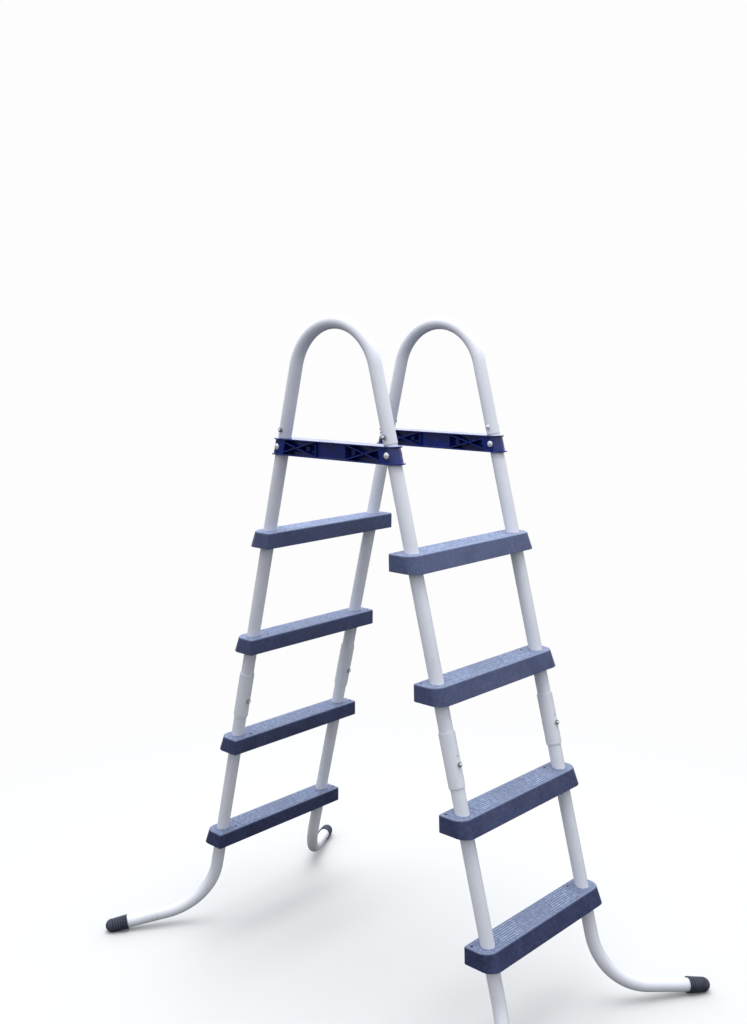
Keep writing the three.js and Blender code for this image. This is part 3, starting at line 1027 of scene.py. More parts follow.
@dataclass(frozen=True)
class Leg:
    """One leg: upper rail, splice sleeve, lower leg with its foot, and rubber cap."""

    plan: Plan
    ladder: Ladder
    side: Side
    swage: float = 0.005
    butt_height: float = 0.716
    sleeve_top: float = 0.742
    sleeve_bottom: float = 0.623
    sleeve_bore_r: float = 0.0168
    sleeve_r: float = 0.0184
    weep_height: float = 0.690
    weep_r: float = 0.0022
    corner_height: float = 0.0533
    foot_splay: float = math.radians(33.5)
    foot_fall: float = 0.137
    foot_bend: float = 0.165
    foot_length: float = 0.2595
    bend_steps: int = 40

    @property
    def label(self) -> str:
        """The leg's part of a node's name."""
        return f"{self.ladder.label}_{self.side.label}"

    @property
    def foot_direction(self) -> Vector:
        """The foot's direction, outwards and slightly down."""
        across = self.ladder.value * math.sin(self.foot_splay)
        along = self.side.value * math.cos(self.foot_splay)
        return Vector((across, along, -self.foot_fall)).normalized()

    @property
    def foot_corner(self) -> Vector:
        """Where the leg's and the foot's centre lines would cross."""
        return self.plan.on_leg(self.ladder, self.side, self.corner_height)

    def build(self, shop: Workshop) -> None:
        """Makes the leg's four pieces and seats them."""
        self._upper_rail(shop)
        self._sleeve(shop)
        self._lower_leg(shop)
        cap = FootCap(self.foot_corner, self.foot_direction, self.foot_length)
        node = f"foot_cap_{self.label}"
        shop.seat(f"fine_{node}", cap.mesh(), Slot.RUBBER, node)

    def _upper_rail(self, shop: Workshop) -> None:
        """Makes the long tube, with both ends drawn down into necks."""
        plan = self.plan
        top = plan.along(plan.bracket_top + plan.seat_gap) - plan.clearance
        bottom = plan.along(self.butt_height) + plan.clearance
        stations = [
            (bottom - plan.neck_length, plan.neck_r),
            (bottom, plan.neck_r),
            (bottom + self.swage, plan.tube_r),
            (top - self.swage, plan.tube_r),
            (top, plan.neck_r),
            (top + plan.neck_length, plan.neck_r),
        ]
        place = plan.leg_frame(self.ladder, self.side)
        run = [(place @ Vector((0.0, 0.0, along)), girth) for along, girth in stations]
        mesh = shop.swept([run], Slot.PAINT, plan.tube_sides, plan.tube_wall)
        node = f"upper_rail_{self.label}"
        shop.seat(f"fine_{node}", dressed(mesh), Slot.PAINT, node)

    def _sleeve(self, shop: Workshop) -> None:
        """Makes the splice sleeve, with rounded lips and a weep hole."""
        plan = self.plan
        bottom = plan.along(self.sleeve_bottom)
        top = plan.along(self.sleeve_top)
        outer = [(self.sleeve_r, bottom), (self.sleeve_r, top)]
        inner = [(self.sleeve_bore_r, top), (self.sleeve_bore_r, bottom)]
        tube = revolved(eased(outer + inner, 0.0005), 64)
        weep = plan.along(self.weep_height)
        drill = rod(Vector((0.0, 0.0, weep)), Vector((2 * self.sleeve_r, 0.0, weep)), self.weep_r, 24)
        mesh = moved(carved(tube, drill), plan.leg_frame(self.ladder, self.side))
        node = f"splice_sleeve_{self.label}"
        shop.seat(f"fine_{node}", dressed(mesh), Slot.PAINT, node)

    def _lower_leg(self, shop: Workshop) -> None:
        """Makes the tube that runs down from the splice and bends out into the foot."""
        plan = self.plan
        start = plan.on_leg(self.ladder, self.side, self.butt_height)
        end = self.foot_corner + self.foot_direction * self.foot_length
        path = bent_path(start, self.foot_corner, end, self.foot_bend, self.bend_steps)
        run = [(point, plan.tube_r) for point in path]
        mesh = shop.swept([run], Slot.PAINT, plan.tube_sides, plan.tube_wall)
        node = f"lower_leg_{self.label}"
        shop.seat(f"fine_{node}", dressed(mesh), Slot.PAINT, node)


@dataclass(frozen=True)
class FootCap:
    """A ringed rubber cap with a rounded end and a flat sole."""

    corner: Vector
    outwards: Vector
    foot_length: float
    seat: float = 0.030
    clearance: float = 0.0003
    mouth_r: float = 0.0196
    tip_r: float = 0.0179
    groove: float = 0.0017
    bore_r: float = 0.0164
    length: float = 0.0596
    dome: float = 0.019
    rings: int = 6
    ring_steps: int = 8
    dome_steps: int = 10
    sides: int = 96

    def _ring_depth(self, phase: float) -> float:
        """How deep the surface lies at a place from 0 to 1 along one ring."""
        crest_share = 0.5
        if phase < crest_share:
            return 0.0
        return math.sin(math.pi * (phase - crest_share) / (1 - crest_share))

    def mesh(self) -> bpy.types.Mesh:
        """Makes the cap in place.

        Returns:
            The mesh, with its grooves marked in the attribute "groove".
        """
        ringed = self.length - self.dome
        profile = [(self.bore_r, 0.0)]
        marks = [0.0]
        total = self.rings * self.ring_steps
        for i in range(total):
            depth = self._ring_depth(i / self.ring_steps % 1)
            radius = self.mouth_r + (self.tip_r - self.mouth_r) * i / total
            profile.append((radius - self.groove * depth, ringed * i / total))
            marks.append(depth)
        for i in range(self.dome_steps):
            turn = QUARTER_TURN * i / self.dome_steps
            profile.append((self.tip_r * math.cos(turn), ringed + self.dome * math.sin(turn)))
            marks.append(0.0)
        profile += [(0.0002, self.length), (0.0002, self.seat + self.clearance)]
        profile.append((self.bore_r, self.seat + self.clearance))
        marks += [0.0, 0.0, 0.0]
        shape = revolved(profile, self.sides)
        grooves = [mark for mark in marks for _ in range(self.sides)]
        marked(shape, "groove", grooves)
        mouth = self.corner + self.outwards * (self.foot_length - self.seat)
        turn = Vector((0.0, 0.0, 1.0)).rotation_difference(self.outwards).to_matrix().to_4x4()
        placed = moved(shape, Matrix.Translation(mouth) @ turn)
        return dressed(self._with_sole(placed), 50.0)

    @staticmethod
    def _with_sole(cap: bpy.types.Mesh) -> bpy.types.Mesh:
        """Cuts a cap off flat at the ground."""
        shape = bmesh.new()
        shape.from_mesh(cap)
        everything = [*shape.verts, *shape.edges, *shape.faces]
        cut = bmesh.ops.bisect_plane(
            shape, geom=everything, plane_co=(0, 0, 0), plane_no=(0, 0, -1), clear_outer=True
        )
        rim = [element for element in cut["geom_cut"] if isinstance(element, bmesh.types.BMEdge)]
        bmesh.ops.contextual_create(shape, geom=rim)
        bmesh.ops.recalc_face_normals(shape, faces=shape.faces)
        return mesh_of(shape)


@dataclass(frozen=True)
class TreadOutline:
    """A tread's outline at one level, as reaches from the leg's centre line at the tread's top."""

    inner: float
    outer: float
    half_length: float


@dataclass(frozen=True)
class Tread:
    """The tread moulding: an inverted tray with grip ribs and dots, collars and cross ribs."""

    plan: Plan
    top: TreadOutline = TreadOutline(0.037, 0.0313, 0.2232)
    base: TreadOutline = TreadOutline(0.035, 0.0453, 0.2245)
    height: float = 0.040
    wall: float = 0.003
    inner_corner: float = 0.0055
    outer_corner: float = 0.030
    edge: float = 0.0042
    bore_r: float = 0.0166
    collar_r: float = 0.0205
    collar_depth: float = 0.032
    drain_r: float = 0.0031
    drain_offset: tuple[float, float] = (-0.023, -0.027)
    rib_places: tuple[float, ...] = (-0.110, 0.0, 0.110)
    rib_half: float = 0.0012
    grip_count: int = 8
    grip_first: float = -0.027
    grip_pitch: float = 0.0068
    grip_r: float = 0.0019
    grip_rise: float = 0.0013
    dot_pitch: float = 0.0046
    dot_r: float = 0.0015
    dot_seed: int = 41
    grip_front: tuple[float, float] = (-0.150, -0.055)
    grip_rear: tuple[float, float] = (0.064, 0.142)
    grip_slant: float = 0.55
    grip_end: float = 0.0015
    dot_margin: float = 0.0095
    dot_clear: float = 0.003
    dot_jitter: float = 0.22
    dot_flatness: float = 0.55
    dot_sizes: tuple[float, float] = (0.65, 1.1)
    corner_steps: int = 14
    edge_steps: int = 6

    def _outline(self, level: TreadOutline, inset: float, height: float) -> list[Vector]:
        """The rounded outline at a level, moved in from its edges.

        Args:
            level: The reaches that it follows.
            inset: How far in it is moved.
            height: Its height.

        Returns:
            Its points, anticlockwise from the rear outer corner.
        """
        points: list[Vector] = []
        for quarter in range(4):
            outside = quarter in (0, 3)
            radius = (self.outer_corner if outside else self.inner_corner) - inset
            centre_x = level.outer - inset - radius if outside else inset + radius - level.inner
            centre_y = (1 if quarter < 2 else -1) * (level.half_length - inset - radius)
            for step in range(self.corner_steps + 1):
                turn = (quarter + step / self.corner_steps) * QUARTER_TURN
                arm = Vector((radius * math.cos(turn), radius * math.sin(turn), 0.0))
                points.append(Vector((centre_x, centre_y, height)) + arm)
        return points

    def _tray(self) -> bpy.types.Mesh:
        """Makes the tray, with its worn top edge marked in the attribute "wear"."""
        lip = 0.0006
        rings = [
            self._outline(self.top, self.wall, -self.wall),
            self._outline(self.base, self.wall, -self.height + lip / 2),
            self._outline(self.base, self.wall - lip / 2, -self.height),
            self._outline(self.base, lip, -self.height),
            self._outline(self.base, 0.0, -self.height + lip),
        ]
        marks = [0.0] * len(rings)
        for step in range(self.edge_steps + 1):
            turn = QUARTER_TURN * step / self.edge_steps
            inset = self.edge * (1 - math.cos(turn))
            rings.append(self._outline(self.top, inset, -self.edge * (1 - math.sin(turn))))
            marks.append(math.sin(2 * turn))
        shape = loft(rings, False)
        count = len(rings[0])
        wear = [mark for mark in marks for _ in range(count)]
        marked(shape, "wear", wear)
        return shape

    def _on_leg(self, side: Side, height: float) -> Vector:
        """The leg's centre line at a height, in the tread's own frame."""
        return Vector((-height * math.tan(self.plan.tilt), side.value * self.plan.rail_plane, height))

    def _drains(self) -> list[Vector]:
        """The middles of the drain holes."""
        across, along = self.drain_offset
        return [Vector((across, side.value * self.plan.rail_plane + along, 0.0)) for side in Side]

    def _drills(self) -> bpy.types.Mesh:
        """Makes what cuts the rails' bores and the drain holes."""
        deep = Vector((0.0, 0.0, 2 * self.wall))
        bores = [
            rod(self._on_leg(side, -self.wall * 3), self._on_leg(side, self.wall), self.bore_r, 64)
            for side in Side
        ]
        drains = [rod(middle - deep, middle + deep, self.drain_r, 24) for middle in self._drains()]
        return joined([*bores, *drains])

    def _collar(self, side: Side) -> bpy.types.Mesh:
        """Makes the slanted ring below the top that a rail is held in.

        Args:
            side: The rail's side.

        Returns:
            The mesh.
        """
        slant = 1 / math.cos(self.plan.tilt)
        sides = 56
        corners = eased(
            [
                (self.collar_r, -self.collar_depth),
                (self.collar_r, -self.wall * 0.6),
                (self.bore_r, -self.wall * 0.6),
                (self.bore_r, -self.collar_depth),
            ],
            0.0006,
        )
        rings = []
        for radius, height in corners:
            middle = self._on_leg(side, height)
            ring = ring_points(radius, 0.0, sides)
            rings.append([middle + Vector((point.x * slant, point.y, 0.0)) for point in ring])
        return loft(rings, True)

    def _cross_rib(self, place: float) -> bpy.types.Mesh:
        """Makes one stiffening rib across the underside.

        Args:
            place: Where it lies along the tread.

        Returns:
            The mesh.
        """
        sink = self.wall / 2
        slope = (self.base.outer - self.top.outer) / (self.height - self.edge)
        drop = self.collar_depth - self.edge
        foot_outer = self.top.outer + slope * drop - sink
        foot_inner = self.base.inner + sink / 4 - sink
        corners = [
            (-self.top.inner + sink, -sink),
            (-foot_inner, -self.collar_depth),
            (foot_outer, -self.collar_depth),
            (self.top.outer - sink, -sink),
        ]
        rings = [[Vector((x, place + way * self.rib_half, z)) for x, z in corners] for way in (-1, 1)]
        return loft(rings, False)

    def _grip_span(self, x: float, side: Side) -> tuple[float, float]:
        """Where a grip rib starts and ends along the tread, in one of the two groups.

        Args:
            x: The rib's place across the tread.
            side: The group's side.

        Returns:
            The two ends, which slant where the groups face each other.
        """
        slant = self.grip_slant * (x - self.grip_first)
        if side is Side.FRONT:
            return (self.grip_front[0], self.grip_front[1] - slant)
        return (self.grip_rear[0] - slant, self.grip_rear[1])

    def _grips(self) -> list[float]:
        """Where the grip ribs lie across the tread."""
        return [self.grip_first + i * self.grip_pitch for i in range(self.grip_count)]

    def _grip_ribs(self, shop: Workshop) -> bpy.types.Mesh:
        """Makes both groups of grip ribs, low rounded bars sunk in the top."""
        sunk = self.grip_rise - self.grip_r
        runs = []
        for side in Side:
            for x in self._grips():
                start, end = self._grip_span(x, side)
                ease = self.grip_end
                stations = [(start, 0.3), (start + ease, 1.0), (end - ease, 1.0), (end, 0.3)]
                runs.append([(Vector((x, y, sunk)), self.grip_r * share) for y, share in stations])
        return shop.swept(runs, Slot.TREAD, 10)

    def _is_plain(self, x: float, y: float) -> bool:
        """Whether a place on the top is kept free of dots.

        Args:
            x: Where it is across the tread.
            y: Where it is along the tread.

        Returns:
            True on the collars, ribs and drain holes and just around them.
        """
        for side in Side:
            if math.hypot(x, y - side.value * self.plan.rail_plane) < self.collar_r + self.dot_clear:
                return True
            if self.grip_first - 0.004 < x < self._grips()[-1] + 0.004:
                start, end = self._grip_span(x, side)
                if start - self.dot_clear < y < end + self.dot_clear:
                    return True
        return any(math.hypot(x - hole.x, y - hole.y) < 2 * self.drain_r for hole in self._drains())

    def _dots(self, shop: Workshop) -> bpy.types.Mesh:
        """Makes the fine raised dots around and between the grip ribs."""
        draw = random.Random(self.dot_seed)
        margin = self.dot_margin
        across = int((self.top.inner + self.top.outer - 2 * margin) / self.dot_pitch)
        along = int(2 * (self.top.half_length - margin) / self.dot_pitch)
        jitter = self.dot_pitch * self.dot_jitter
        points = []
        for i in range(across + 1):
            for j in range(along + 1):
                shift = 0.5 * (i % 2)
                x = -self.top.inner + margin + i * self.dot_pitch + draw.uniform(-jitter, jitter)
                row = margin - self.top.half_length + (j + shift) * self.dot_pitch
                y = row + draw.uniform(-jitter, jitter)
                corner_x = self.top.outer - self.outer_corner
                corner_y = self.top.half_length - self.outer_corner
                past_x = max(0.0, x - corner_x)
                past_y = max(0.0, abs(y) - corner_y)
                inside = math.hypot(past_x, past_y) < self.outer_corner - margin
                inside = inside and abs(y) < self.top.half_length - margin
                if inside and not self._is_plain(x, y):
                    points.append(Vector((x, y, 0.0)))
        dome = bmesh.new()
        bmesh.ops.create_uvsphere(dome, u_segments=6, v_segments=4, radius=self.dot_r)
        bmesh.ops.scale(dome, vec=(1.0, 1.0, self.dot_flatness), verts=dome.verts)
        return shop.scattered(points, mesh_of(dome), Slot.TREAD, self.dot_sizes, self.dot_seed)

    def moulding(self, shop: Workshop) -> bpy.types.Mesh:
        """Makes the moulding for the right ladder, about the middle of its own top.

        Returns:
            The mesh.
        """
        tray = dressed(carved(self._tray(), self._drills()))
        below = [self._collar(side) for side in Side] + [self._cross_rib(y) for y in self.rib_places]
        raised = joined([self._grip_ribs(shop), self._dots(shop)])
        marked(raised, "raised", [1.0] * len(raised.vertices))
        return joined([tray, *below, raised])

    def screws(self, shop: Workshop) -> bpy.types.Mesh:
        """Makes the two screws that hold the collars to the rails, for the right ladder."""
        place = -self.collar_depth * 0.6
        collar_face = place * -math.tan(self.plan.tilt) - self.collar_r / math.cos(self.plan.tilt)
        points = [
            Vector((collar_face - 0.0001, side.value * self.plan.rail_plane, place)) for side in Side
        ]
        head = [(0.0, 0.0), (0.0042, 0.0), (0.0042, 0.0009), (0.0034, 0.0024), (0.0016, 0.0029), (0.0, 0.003)]
        pan = revolved(eased(head, 0.0004, closed=False), 32, closed=False)
        slot_half, slot_reach = 0.0005, 0.0023
        slots = [
            block((-slot_reach, -slot_half, 0.0014), (slot_reach, slot_half, 0.005), 0.0001),
            block((-slot_half, -slot_reach, 0.0014), (slot_half, slot_reach, 0.005), 0.0001),
        ]
        for cutter in slots:
            pan = carved(pan, cutter)
        facing_wall = moved(pan, Matrix.Rotation(-QUARTER_TURN, 4, "Y"))
        return dressed(shop.scattered(points, facing_wall, Slot.ZINC))


@dataclass(frozen=True)
class TreadSet:
    """All treads of both ladders, from one moulding."""

    plan: Plan
    count: int = 4

    def build(self, shop: Workshop) -> None:
        """Makes the moulding and seats a copy at each node."""
        tread = Tread(self.plan)
        moulding = dressed(tread.moulding(shop))
        screws = tread.screws(shop)
        for ladder in Ladder:
            for number in range(1, self.count + 1):
                node = f"tread_{ladder.label}_{number}"
                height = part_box(node)[1].z
                middle = Vector((ladder.value * self.plan.reach(height), 0.0, height))
                turn = Matrix.Rotation(math.pi if ladder is Ladder.LEFT else 0.0, 4, "Z")
                place = Matrix.Translation(middle) @ turn
                shop.seat(f"fine_{node}", moved(moulding, place), Slot.TREAD, node)
                shop.seat(f"{node}_screws", moved(screws, place), Slot.ZINC)


@dataclass(frozen=True)
class SideBracket:
    """A moulded beam between the legs of one side, below the handrail."""

    plan: Plan
    side: Side
    height: float = 0.040
    flange_r: float = 0.0235
    flange: float = 0.003
    block_r: float = 0.0205
    block_reach: float = 0.024
    web: float = 0.003
    panel_half: float = 0.048
    panel_depth: float = 0.013
    rib: float = 0.0026
    rib_depth: float = 0.019
    boss_place: float = 0.074
    boss_r: float = 0.0055
    boss_depth: float = 0.0175
    boss_hole_r: float = 0.0023
    brace_span: tuple[float, float] = (0.050, 0.172)
    brace_depth: float = 0.0213
    bore_r: float = 0.0166
    bolt_hole_r: float = 0.0034
    edge: float = 0.0006

    def _bore(self, ladder: Ladder) -> bpy.types.Mesh:
        """Makes what cuts the bore for a leg.

        Args:
            ladder: The leg's ladder.

        Returns:
            The cutter.
        """
        low = self.plan.on_leg(ladder, self.side, self.plan.bracket_top - 2 * self.height)
        high = self.plan.on_leg(ladder, self.side, self.plan.bracket_top + self.height)
        return rod(low, high, self.bore_r, 64)

    def _flange_plate(self, low: float) -> bpy.types.Mesh:
        """Makes a flange, with round ends about the legs, from a height up.

        Args:
            low: The height of its underside.

        Returns:
            The mesh, with both bores.
        """
        reach = self.plan.reach(low) + 0.001
        middle = self.side.value * self.plan.rail_plane
        outline = []
        steps = 28
        for way in (1, -1):
            for step in range(steps + 1):
                turn = (step / steps - 0.5) * math.pi
                x = way * (reach + self.flange_r * math.cos(turn))
                outline.append((x, middle + way * self.flange_r * math.sin(turn)))
        plate = slab(outline, low, low + self.flange, self.edge)
        for ladder in Ladder:
            plate = carved(plate, self._bore(ladder))
        return plate

    def _brace(self, ladder: Ladder, low: float, high: float, rising: bool) -> bpy.types.Mesh:
        """Makes one crossed brace, from corner to corner of its bay.

        Args:
            ladder: The ladder that the bay is nearer to.
            low: The bay's lowest height.
            high: Its highest.
            rising: Whether the brace rises towards the leg.

        Returns:
            The mesh.
        """
        near, far = self.brace_span
        run = far - near
        rise = (high - low) * (1 if rising else -1)
        half = math.hypot(run, rise) / 2
        corner = (half, self.brace_depth, self.rib / 2)
        bar = block([-reach for reach in corner], corner, self.edge / 2)
        across = ladder.value * (near + far) / 2
        middle = Vector((across, self.side.value * self.plan.rail_plane, (low + high) / 2))
        turn = Matrix.Rotation(-ladder.value * math.atan2(rise, run), 4, "Y")
        return carved(moved(bar, Matrix.Translation(middle) @ turn), self._bore(ladder))

    def _leg_block(self, ladder: Ladder, low: float, high: float) -> bpy.types.Mesh:
        """Makes the slanted block that a leg passes through.

        Args:
            ladder: The leg's ladder.
            low: The block's lowest height.
            high: Its highest.

        Returns:
            The mesh, with the leg's bore and the bolt's hole.
        """
        outline = [(-self.block_reach, self.block_r), (-self.block_reach, -self.block_r)]
        steps = 32
        for step in range(steps + 1):
            turn = (step / steps - 0.5) * math.pi
            outline.append((self.block_r * math.cos(turn), self.block_r * math.sin(turn)))
        upright = slab(outline, low, high, self.edge)
        slope = -math.tan(self.plan.tilt)
        lean = Matrix.Identity(4)
        lean[0][2] = slope
        lean[0][3] = -slope * self.plan.bracket_top
        turn = Matrix.Rotation(math.pi if ladder is Ladder.LEFT else 0.0, 4, "Z")
        middle_y = self.side.value * self.plan.rail_plane
        shift = Matrix.Translation(Vector((ladder.value * self.plan.half_span, middle_y, 0.0)))
        solid = carved(moved(upright, shift @ turn @ lean), self._bore(ladder))
        bolt = self.plan.on_leg(ladder, self.side, self.plan.bracket_top - self.height / 2)
        arm = Vector((0.0, 2 * self.block_r, 0.0))
        return carved(solid, rod(bolt - arm, bolt + arm, self.bolt_hole_r, 32))

    def _boss(self, ladder: Ladder, height: float) -> bpy.types.Mesh:
        """Makes one round boss with its through hole.

        Args:
            ladder: The ladder that it is nearer to.
            height: The height of its middle.

        Returns:
            The mesh.
        """
        inner = [(self.boss_hole_r, self.boss_depth), (self.boss_hole_r, -self.boss_depth)]
        outer = [(self.boss_r, -self.boss_depth), (self.boss_r, self.boss_depth)]
        ring = revolved(eased(outer + inner, 0.0005), 40)
        middle = Vector((ladder.value * self.boss_place, self.side.value * self.plan.rail_plane, height))
        return moved(ring, Matrix.Translation(middle) @ Matrix.Rotation(QUARTER_TURN, 4, "X"))

    def build(self, shop: Workshop) -> None:
        """Makes the beam and seats it."""
        top = self.plan.bracket_top
        low = top - self.height
        web_low = low + self.flange / 2
        web_high = top - self.flange / 2
        middle = (low + top) / 2
        y = self.side.value * self.plan.rail_plane
        web_reach = self.plan.half_span - self.block_reach + self.web
        web = block((-web_reach, y - self.web / 2, web_low), (web_reach, y + self.web / 2, web_high), 0.0002)
        panel = block(
            (-self.panel_half, y - self.panel_depth, web_low),
            (self.panel_half, y + self.panel_depth, web_high),
            self.edge / 2,
        )
        parts = [self._flange_plate(low), self._flange_plate(top - self.flange), panel]
        for ladder in Ladder:
            boss = Vector((ladder.value * self.boss_place, y, middle))
            arm = Vector((0.0, self.boss_depth * 2, 0.0))
            web = carved(web, rod(boss - arm, boss + arm, self.boss_hole_r, 32))
            rib_x = ladder.value * self.panel_half
            parts.append(
                block(
                    (rib_x - self.rib / 2, y - self.rib_depth, web_low),
                    (rib_x + self.rib / 2, y + self.rib_depth, web_high),
                    self.edge / 2,
                )
            )
            parts += [self._brace(ladder, low + self.flange, top - self.flange, way) for way in (True, False)]
            parts.append(self._leg_block(ladder, web_low, web_high))
            parts.append(self._boss(ladder, middle))
        parts.append(web)
        node = f"side_bracket_{self.side.label}"
        shop.seat(f"fine_{node}", dressed(joined(parts)), Slot.BRACKET, node)


class Joint(Enum):
    """The three bolted joints of each leg."""

    HANDRAIL = "handrail"
    BRACKET = "bracket"
    SPLICE = "splice"


@dataclass(frozen=True)
class BoltAndNut:
    """A domed M6 bolt and its hexagon nut, along Z with the head at -Z and the grip on the origin."""

    grip: float
    head_r: float
    head_height: float = 0.0036
    bolt_r: float = 0.003
    nut_half: float = 0.005
    nut_height: float = 0.005
    thread_end: float = 0.0025
    thread_pitch: float = 0.001
    thread_depth: float = 0.00045
    clearance: float = 0.0003
    sides: int = 48

    @property
    def seat(self) -> float:
        """How far from the origin the head and the nut bear."""
        return self.grip / 2 + self.clearance

    def bolt(self) -> bpy.types.Mesh:
        """Makes the bolt: a dome on a thin rim, the shank, and thread beyond the nut."""
        rim = 0.0007
        dome = self.head_height - rim
        profile = [(0.0, -self.seat - self.head_height)]
        steps = 9
        for step in range(1, steps + 1):
            turn = QUARTER_TURN * step / steps
            profile.append((self.head_r * math.sin(turn), -self.seat - rim - dome * math.cos(turn)))
        profile += [(self.head_r, -self.seat), (self.bolt_r, -self.seat)]
        tip = self.seat + self.nut_height + self.thread_end
        threads = 6
        first = tip - threads * self.thread_pitch
        for i in range(threads):
            start = first + i * self.thread_pitch
            profile.append((self.bolt_r, start))
            profile.append((self.bolt_r - self.thread_depth, start + self.thread_pitch / 2))
        profile += [(self.bolt_r - 0.0003, tip - 0.0003), (self.bolt_r - 0.0007, tip), (0.0, tip)]
        return dressed(revolved(profile, self.sides, closed=False), 28.0)

    def nut(self) -> bpy.types.Mesh:
        """Makes the nut, with its corners chamfered on both faces."""
        bore = self.bolt_r + 0.0001
        washer_r = self.nut_half * 0.97
        chamfer = math.tan(math.radians(30))
        corners: list[tuple[float, float]] = []
        for i in range(self.sides):
            turn = FULL_TURN * i / self.sides
            within = (turn + math.pi / 6) % (math.pi / 3) - math.pi / 6
            corners.append((turn, self.nut_half / math.cos(within)))

        def ring(radii: Sequence[float], heights: Sequence[float]) -> list[Vector]:
            """One ring of the nut, with a radius and a height for each corner."""
            return [
                Vector((radius * math.cos(turn), radius * math.sin(turn), self.seat + height))
                for (turn, _), radius, height in zip(corners, radii, heights)
            ]

        count = len(corners)
        flats = [radius for _, radius in corners]
        drops = [(radius - washer_r) * chamfer for radius in flats]
        top = self.nut_height
        rings = [
            ring([bore + 0.0004] * count, [0.0] * count),
            ring([washer_r] * count, [0.0] * count),
            ring(flats, drops),
            ring(flats, [top - drop for drop in drops]),
            ring([washer_r] * count, [top] * count),
            ring([bore + 0.0004] * count, [top] * count),
            ring([bore] * count, [top - 0.0004] * count),
            ring([bore] * count, [0.0004] * count),
        ]
        shape = loft(rings, True)
        # Marks the nut for the zinc's painted shade, darker than the near-white bolts.
        marked(shape, "dulled", [1.0] * len(shape.vertices))
        return dressed(shape, 25.0)


@dataclass(frozen=True)
class Fasteners:
    """The bolts and nuts of one leg."""

    plan: Plan
    ladder: Ladder
    side: Side
    handrail_height: float = 1.377
    bracket_drop: float = 0.020
    splice_height: float = 0.672
    small_head_r: float = 0.0052
    large_head_r: float = 0.0074
    bracket_grip: float = 0.041
    splice_grip: float = 0.0368

    def _pair(self, joint: Joint) -> tuple[BoltAndNut, Matrix]:
        """A joint's bolt and nut, and their place in the leg's frame."""
        plan = self.plan
        if joint is Joint.HANDRAIL:
            pair = BoltAndNut(2 * plan.tube_r, self.small_head_r)
            along = plan.along(self.handrail_height)
            turn = Matrix.Rotation(-self.side.value * QUARTER_TURN, 4, "X")
        elif joint is Joint.BRACKET:
            pair = BoltAndNut(self.bracket_grip, self.large_head_r)
            along = plan.along(plan.bracket_top - self.bracket_drop)
            turn = Matrix.Rotation(-QUARTER_TURN, 4, "X")
        else:
            pair = BoltAndNut(self.splice_grip, self.small_head_r)
            along = plan.along(self.splice_height)
            turn = Matrix.Rotation(QUARTER_TURN, 4, "Y")
        return pair, Matrix.Translation(Vector((0.0, 0.0, along))) @ turn

    def build(self, shop: Workshop) -> None:
        """Makes the leg's bolts and nuts and seats them."""
        leg = self.plan.leg_frame(self.ladder, self.side)
        for joint in Joint:
            pair, place = self._pair(joint)
            for kind, mesh in (("bolt", pair.bolt()), ("nut", pair.nut())):
                node = f"{joint.value}_{kind}_{self.ladder.label}_{self.side.label}"
                shop.seat(f"fine_{node}", moved(mesh, leg @ place), Slot.ZINC, node)


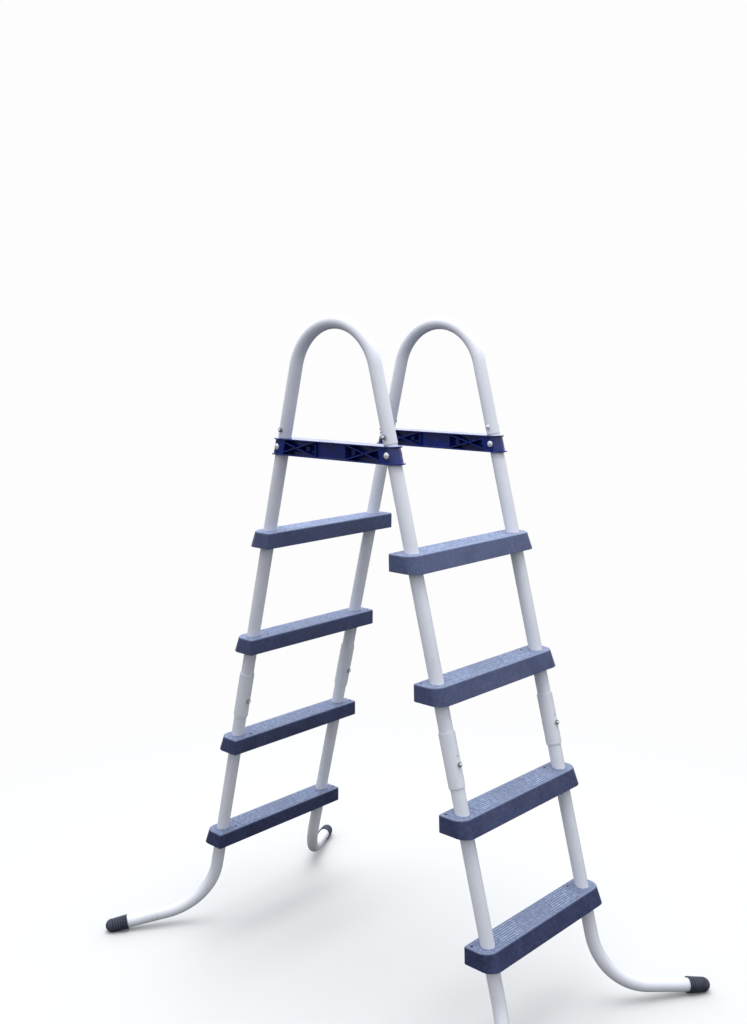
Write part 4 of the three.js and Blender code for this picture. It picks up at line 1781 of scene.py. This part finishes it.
@dataclass(frozen=True)
class Studio:
    """A pale floor that fades out, a white surround, a soft lamp and the camera."""

    camera_place: tuple[float, float, float] = (1.836, -2.012, 1.584)
    heading: float = 0.7546
    dip: float = 0.1499
    roll: float = -0.0069
    lens: float = 39.73
    floor_r: float = 6.0
    fade: tuple[float, float] = (0.9, 2.4)
    floor_colour: Colour = (0.66, 0.66, 0.66, 1.0)
    floor_bounce: Colour = (0.13, 0.13, 0.12, 1.0)
    seen_white: float = 0.985
    sky_colour: Colour = (0.93, 0.96, 1.0, 1.0)
    sky_low: float = 0.68
    sky_high: float = 1.2
    sky_glow: float = 0.95
    ground_light: float = 0.10
    horizon: float = 0.04
    floor_drop: float = 0.0005
    lamp_place: tuple[float, float, float] = (0.0, 0.0, 4.4)
    lamp_aim: float = 0.7
    lamp_size: float = 3.4
    lamp_power: float = 120.0

    def build(self) -> None:
        """Sets the whole studio up."""
        self._camera()
        self._surround()
        self._floor()
        self._lamp()
        bpy.context.scene.view_settings.view_transform = "Standard"

    def _camera(self) -> None:
        """Makes the camera."""
        flat = math.cos(self.dip)
        forward = Vector((-math.sin(self.heading) * flat, math.cos(self.heading) * flat, -math.sin(self.dip)))
        right = Vector((math.cos(self.heading), math.sin(self.heading), 0.0))
        up = right.cross(forward)
        tilted_right = right * math.cos(self.roll) + up * math.sin(self.roll)
        tilted_up = up * math.cos(self.roll) - right * math.sin(self.roll)
        turn = Matrix((tilted_right, tilted_up, -forward)).transposed()
        data = bpy.data.cameras.new("camera")
        data.lens = self.lens
        data.sensor_width = 36.0
        data.sensor_fit = "AUTO"
        camera = bpy.data.objects.new("camera", data)
        camera.matrix_world = Matrix.Translation(self.camera_place) @ turn.to_4x4()
        bpy.context.scene.collection.objects.link(camera)
        bpy.context.scene.camera = camera

    def _surround(self) -> None:
        """Makes the world: white where the camera sees it, and an overcast sky as a source of light."""
        world = bpy.data.worlds.new("studio")
        bpy.context.scene.world = world
        world.use_nodes = True
        graph = Shading(world.node_tree)
        graph.tree.nodes.clear()
        way = graph.node("ShaderNodeTexCoord").outputs["Generated"]
        split = graph.node("ShaderNodeSeparateXYZ", None, {"Vector": way})
        up = Value(graph, split.outputs["Z"])
        behind = (-math.sin(self.heading), math.cos(self.heading), 0.0)
        facing = {"Vector": way, "Vector_001": behind}
        product = graph.node("ShaderNodeVectorMath", {"operation": "DOT_PRODUCT"}, facing)
        ahead = Value(graph, product.outputs["Value"])
        glow = ahead.kept_in_range() * ahead.kept_in_range() * self.sky_glow
        sky = self.sky_low + up.kept_in_range() * (self.sky_high - self.sky_low) + glow
        above = up.step(-self.horizon, self.horizon)
        strength = above * sky + (1.0 - above) * self.ground_light
        light = graph.node("ShaderNodeBackground", None, {"Color": self.sky_colour, "Strength": strength})
        white = (1.0, 1.0, 1.0, 1.0)
        seen = graph.node("ShaderNodeBackground", None, {"Color": white, "Strength": self.seen_white})
        path = graph.node("ShaderNodeLightPath").outputs
        end = graph.node("ShaderNodeOutputWorld")
        mixed = graph.mixed(path["Is Camera Ray"], light.outputs[0], seen.outputs[0])
        graph.tree.links.new(mixed, end.inputs["Surface"])

    def _floor(self) -> None:
        """Makes the floor, which fades into the surround away from the ladder and throws little light up."""
        shape = bmesh.new()
        bmesh.ops.create_circle(shape, cap_ends=True, segments=96, radius=self.floor_r)
        mesh = mesh_of(shape)
        graph = Graph("studio_floor")
        length = graph.node("ShaderNodeVectorMath", {"operation": "LENGTH"}, {"Vector": graph.place})
        clear = Value(graph, length.outputs["Value"]).step(*self.fade)
        pale = graph.node("ShaderNodeBsdfDiffuse", None, {"Color": self.floor_colour})
        dim = graph.node("ShaderNodeBsdfDiffuse", None, {"Color": self.floor_bounce})
        path = graph.node("ShaderNodeLightPath").outputs
        seen = graph.mixed(path["Is Camera Ray"], dim.outputs[0], pale.outputs[0])
        nothing = graph.node("ShaderNodeBsdfTransparent")
        faded = graph.mixed(clear.socket, seen, nothing.outputs[0])
        graph.node("ShaderNodeOutputMaterial", None, {"Surface": faded})
        mesh.materials.append(graph.material)
        floor = bpy.data.objects.new("floor", mesh)
        floor.location.z = -self.floor_drop
        bpy.context.scene.collection.objects.link(floor)

    def _lamp(self) -> None:
        """Makes the soft square lamp over the ladder, aimed at its middle."""
        data = bpy.data.lights.new("overhead", "AREA")
        data.shape = "SQUARE"
        data.size = self.lamp_size
        data.energy = self.lamp_power
        lamp = bpy.data.objects.new("overhead", data)
        aim = Vector((0.0, 0.0, self.lamp_aim)) - Vector(self.lamp_place)
        lamp.rotation_euler = aim.to_track_quat("-Z", "Y").to_euler()
        lamp.location = self.lamp_place
        bpy.context.scene.collection.objects.link(lamp)


def main() -> None:
    """Builds the studio and then the ladder, one sub-assembly after another."""
    logging.basicConfig(level=logging.INFO, format="%(message)s")
    Studio().build()
    shop = Workshop()
    plan = Plan.from_frame()
    for side in Side:
        Handrail(plan, side).build(shop)
        SideBracket(plan, side).build(shop)
    for ladder in Ladder:
        for side in Side:
            Leg(plan, ladder, side).build(shop)
            Fasteners(plan, ladder, side).build(shop)
    TreadSet(plan).build(shop)


if __name__ == "__main__":
    main()
